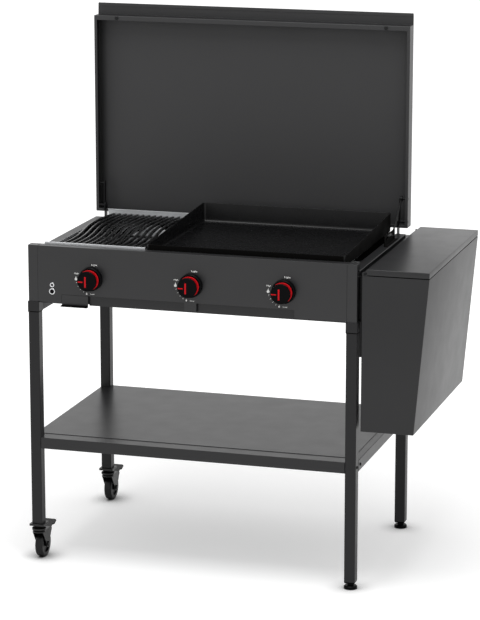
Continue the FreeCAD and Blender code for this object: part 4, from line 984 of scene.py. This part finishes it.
# Camera, at the photograph's angle
cameraView = dict(yaw=16.751, pitch=12.865, focalPx=2775.834, distance=7.659535,
                  aim=(0.508285, 0.300, 0.675494), imageHeightPx=620, sensorMm=36, seesTo=60)


def placeCamera(view):
    yaw, pitch = math.radians(view["yaw"]), math.radians(view["pitch"])
    back = Vector((math.sin(yaw) * math.cos(pitch), -math.cos(yaw) * math.cos(pitch), math.sin(pitch)))
    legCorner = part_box("leg_front_left")[0]
    aim = Vector((legCorner.x, legCorner.y, 0)) + Vector(view["aim"])
    lens = bpy.data.cameras.new("photoCamera")
    lens.sensor_fit = "VERTICAL"
    lens.sensor_height = view["sensorMm"]
    lens.lens = view["focalPx"] * view["sensorMm"] / view["imageHeightPx"]
    lens.clip_end = view["seesTo"]
    rig = linked(bpy.data.objects.new("photoCamera", lens))
    turned = back.to_track_quat("Z", "Y").to_matrix().to_4x4()
    rig.matrix_world = Matrix.Translation(aim + back * view["distance"]) @ turned
    scene.camera = rig


placeCamera(cameraView)

# Studio: pale floor, white surroundings, soft lamps
studio = dict(floorSize=40.0, floorColour="#ececec", floorGlow=(0.36, 0.62), glowFrom=(0.9, 2.4),
              glowInGloss=0.5, ambient=0.66, contactReach=0.06, contactFrom=0.2,
              lamps=[("overhead", (0.1, -0.95, 4.2), (0.0, 0.0, 0.6), 2.6, 90),
                     ("rightFront", (3.2, -3.4, 2.6), (0.0, 0.0, 0.7), 2.2, 12)])


def buildStudio(look):
    half = look["floorSize"] / 2
    mesh = bpy.data.meshes.new("floor")
    corners = [(-half, -half, 0), (half, -half, 0), (half, half, 0), (-half, half, 0)]
    mesh.from_pydata(corners, [], [(0, 1, 2, 3)])
    floor = linked(bpy.data.objects.new("floor", mesh))
    paint, tree, shader = newFinish("floorPaint", {"Roughness": 0.9, "Specular IOR Level": 0.1,
                                                   "Emission Color": (1, 1, 1, 1)})
    where = addNode(tree, "ShaderNodeTexCoord")
    away = addNode(tree, "ShaderNodeVectorMath", {0: where.outputs["Object"]}, operation="LENGTH")
    reach = addNode(tree, "ShaderNodeMapRange", {
        "Value": away.outputs["Value"], "From Min": look["glowFrom"][0], "From Max": look["glowFrom"][1],
        "To Min": look["floorGlow"][0], "To Max": look["floorGlow"][1]}, interpolation_type="SMOOTHSTEP")
    path = addNode(tree, "ShaderNodeLightPath").outputs
    shown = addNode(tree, "ShaderNodeMath", {
        0: path["Is Glossy Ray"], 1: look["glowInGloss"], 2: path["Is Camera Ray"]}, operation="MULTIPLY_ADD")
    # Painted shadow: the floor's glow is weaker near the cart and grows away from it
    white = addNode(tree, "ShaderNodeMath", {
        0: shown.outputs["Value"], 1: reach.outputs["Result"]}, operation="MULTIPLY")  # away from the cart
    # Painted contact shadow: ambient occlusion darkens the floor's colour and glow where a foot meets it
    nook = addNode(tree, "ShaderNodeAmbientOcclusion", {"Distance": look["contactReach"]}, samples=8)
    contact = addNode(tree, "ShaderNodeMapRange", {"Value": nook.outputs["AO"], "From Min": look["contactFrom"]})
    tinted = addNode(tree, "ShaderNodeMix", {
        "Factor": 1.0, 6: linear(look["floorColour"]), 7: contact.outputs["Result"]},
        data_type="RGBA", blend_type="MULTIPLY")
    tree.links.new(tinted.outputs[2], shader.inputs["Base Color"])  # dark where a foot meets the floor
    glow = addNode(tree, "ShaderNodeMath", {
        0: white.outputs["Value"], 1: contact.outputs["Result"]}, operation="MULTIPLY")
    tree.links.new(glow.outputs["Value"], shader.inputs["Emission Strength"])
    mesh.materials.append(paint)
    world = bpy.data.worlds.new("studioWhite")
    world.use_nodes = True
    scene.world = world
    tree = world.node_tree
    sky = tree.nodes["Background"]
    path = addNode(tree, "ShaderNodeLightPath").outputs
    seen = addNode(tree, "ShaderNodeMath", {
        0: path["Is Camera Ray"], 1: path["Is Glossy Ray"]}, operation="MAXIMUM")
    clear = addNode(tree, "ShaderNodeMath", {
        0: seen.outputs["Value"], 1: path["Is Transmission Ray"]}, operation="MAXIMUM")
    level = addNode(tree, "ShaderNodeMapRange", {"Value": clear.outputs["Value"], "To Min": look["ambient"]})
    sky.inputs["Color"].default_value = (1, 1, 1, 1)
    tree.links.new(level.outputs["Result"], sky.inputs["Strength"])
    for name, place, aim, size, power in look["lamps"]:
        lamp = bpy.data.lights.new(name, "AREA")
        lamp.shape = "SQUARE"
        lamp.size = size
        lamp.energy = power
        rig = linked(bpy.data.objects.new(name, lamp))
        rig.location = place
        rig.rotation_euler = (Vector(place) - Vector(aim)).to_track_quat("Z", "Y").to_euler()


buildStudio(studio)
scene.view_settings.view_transform = "Standard"
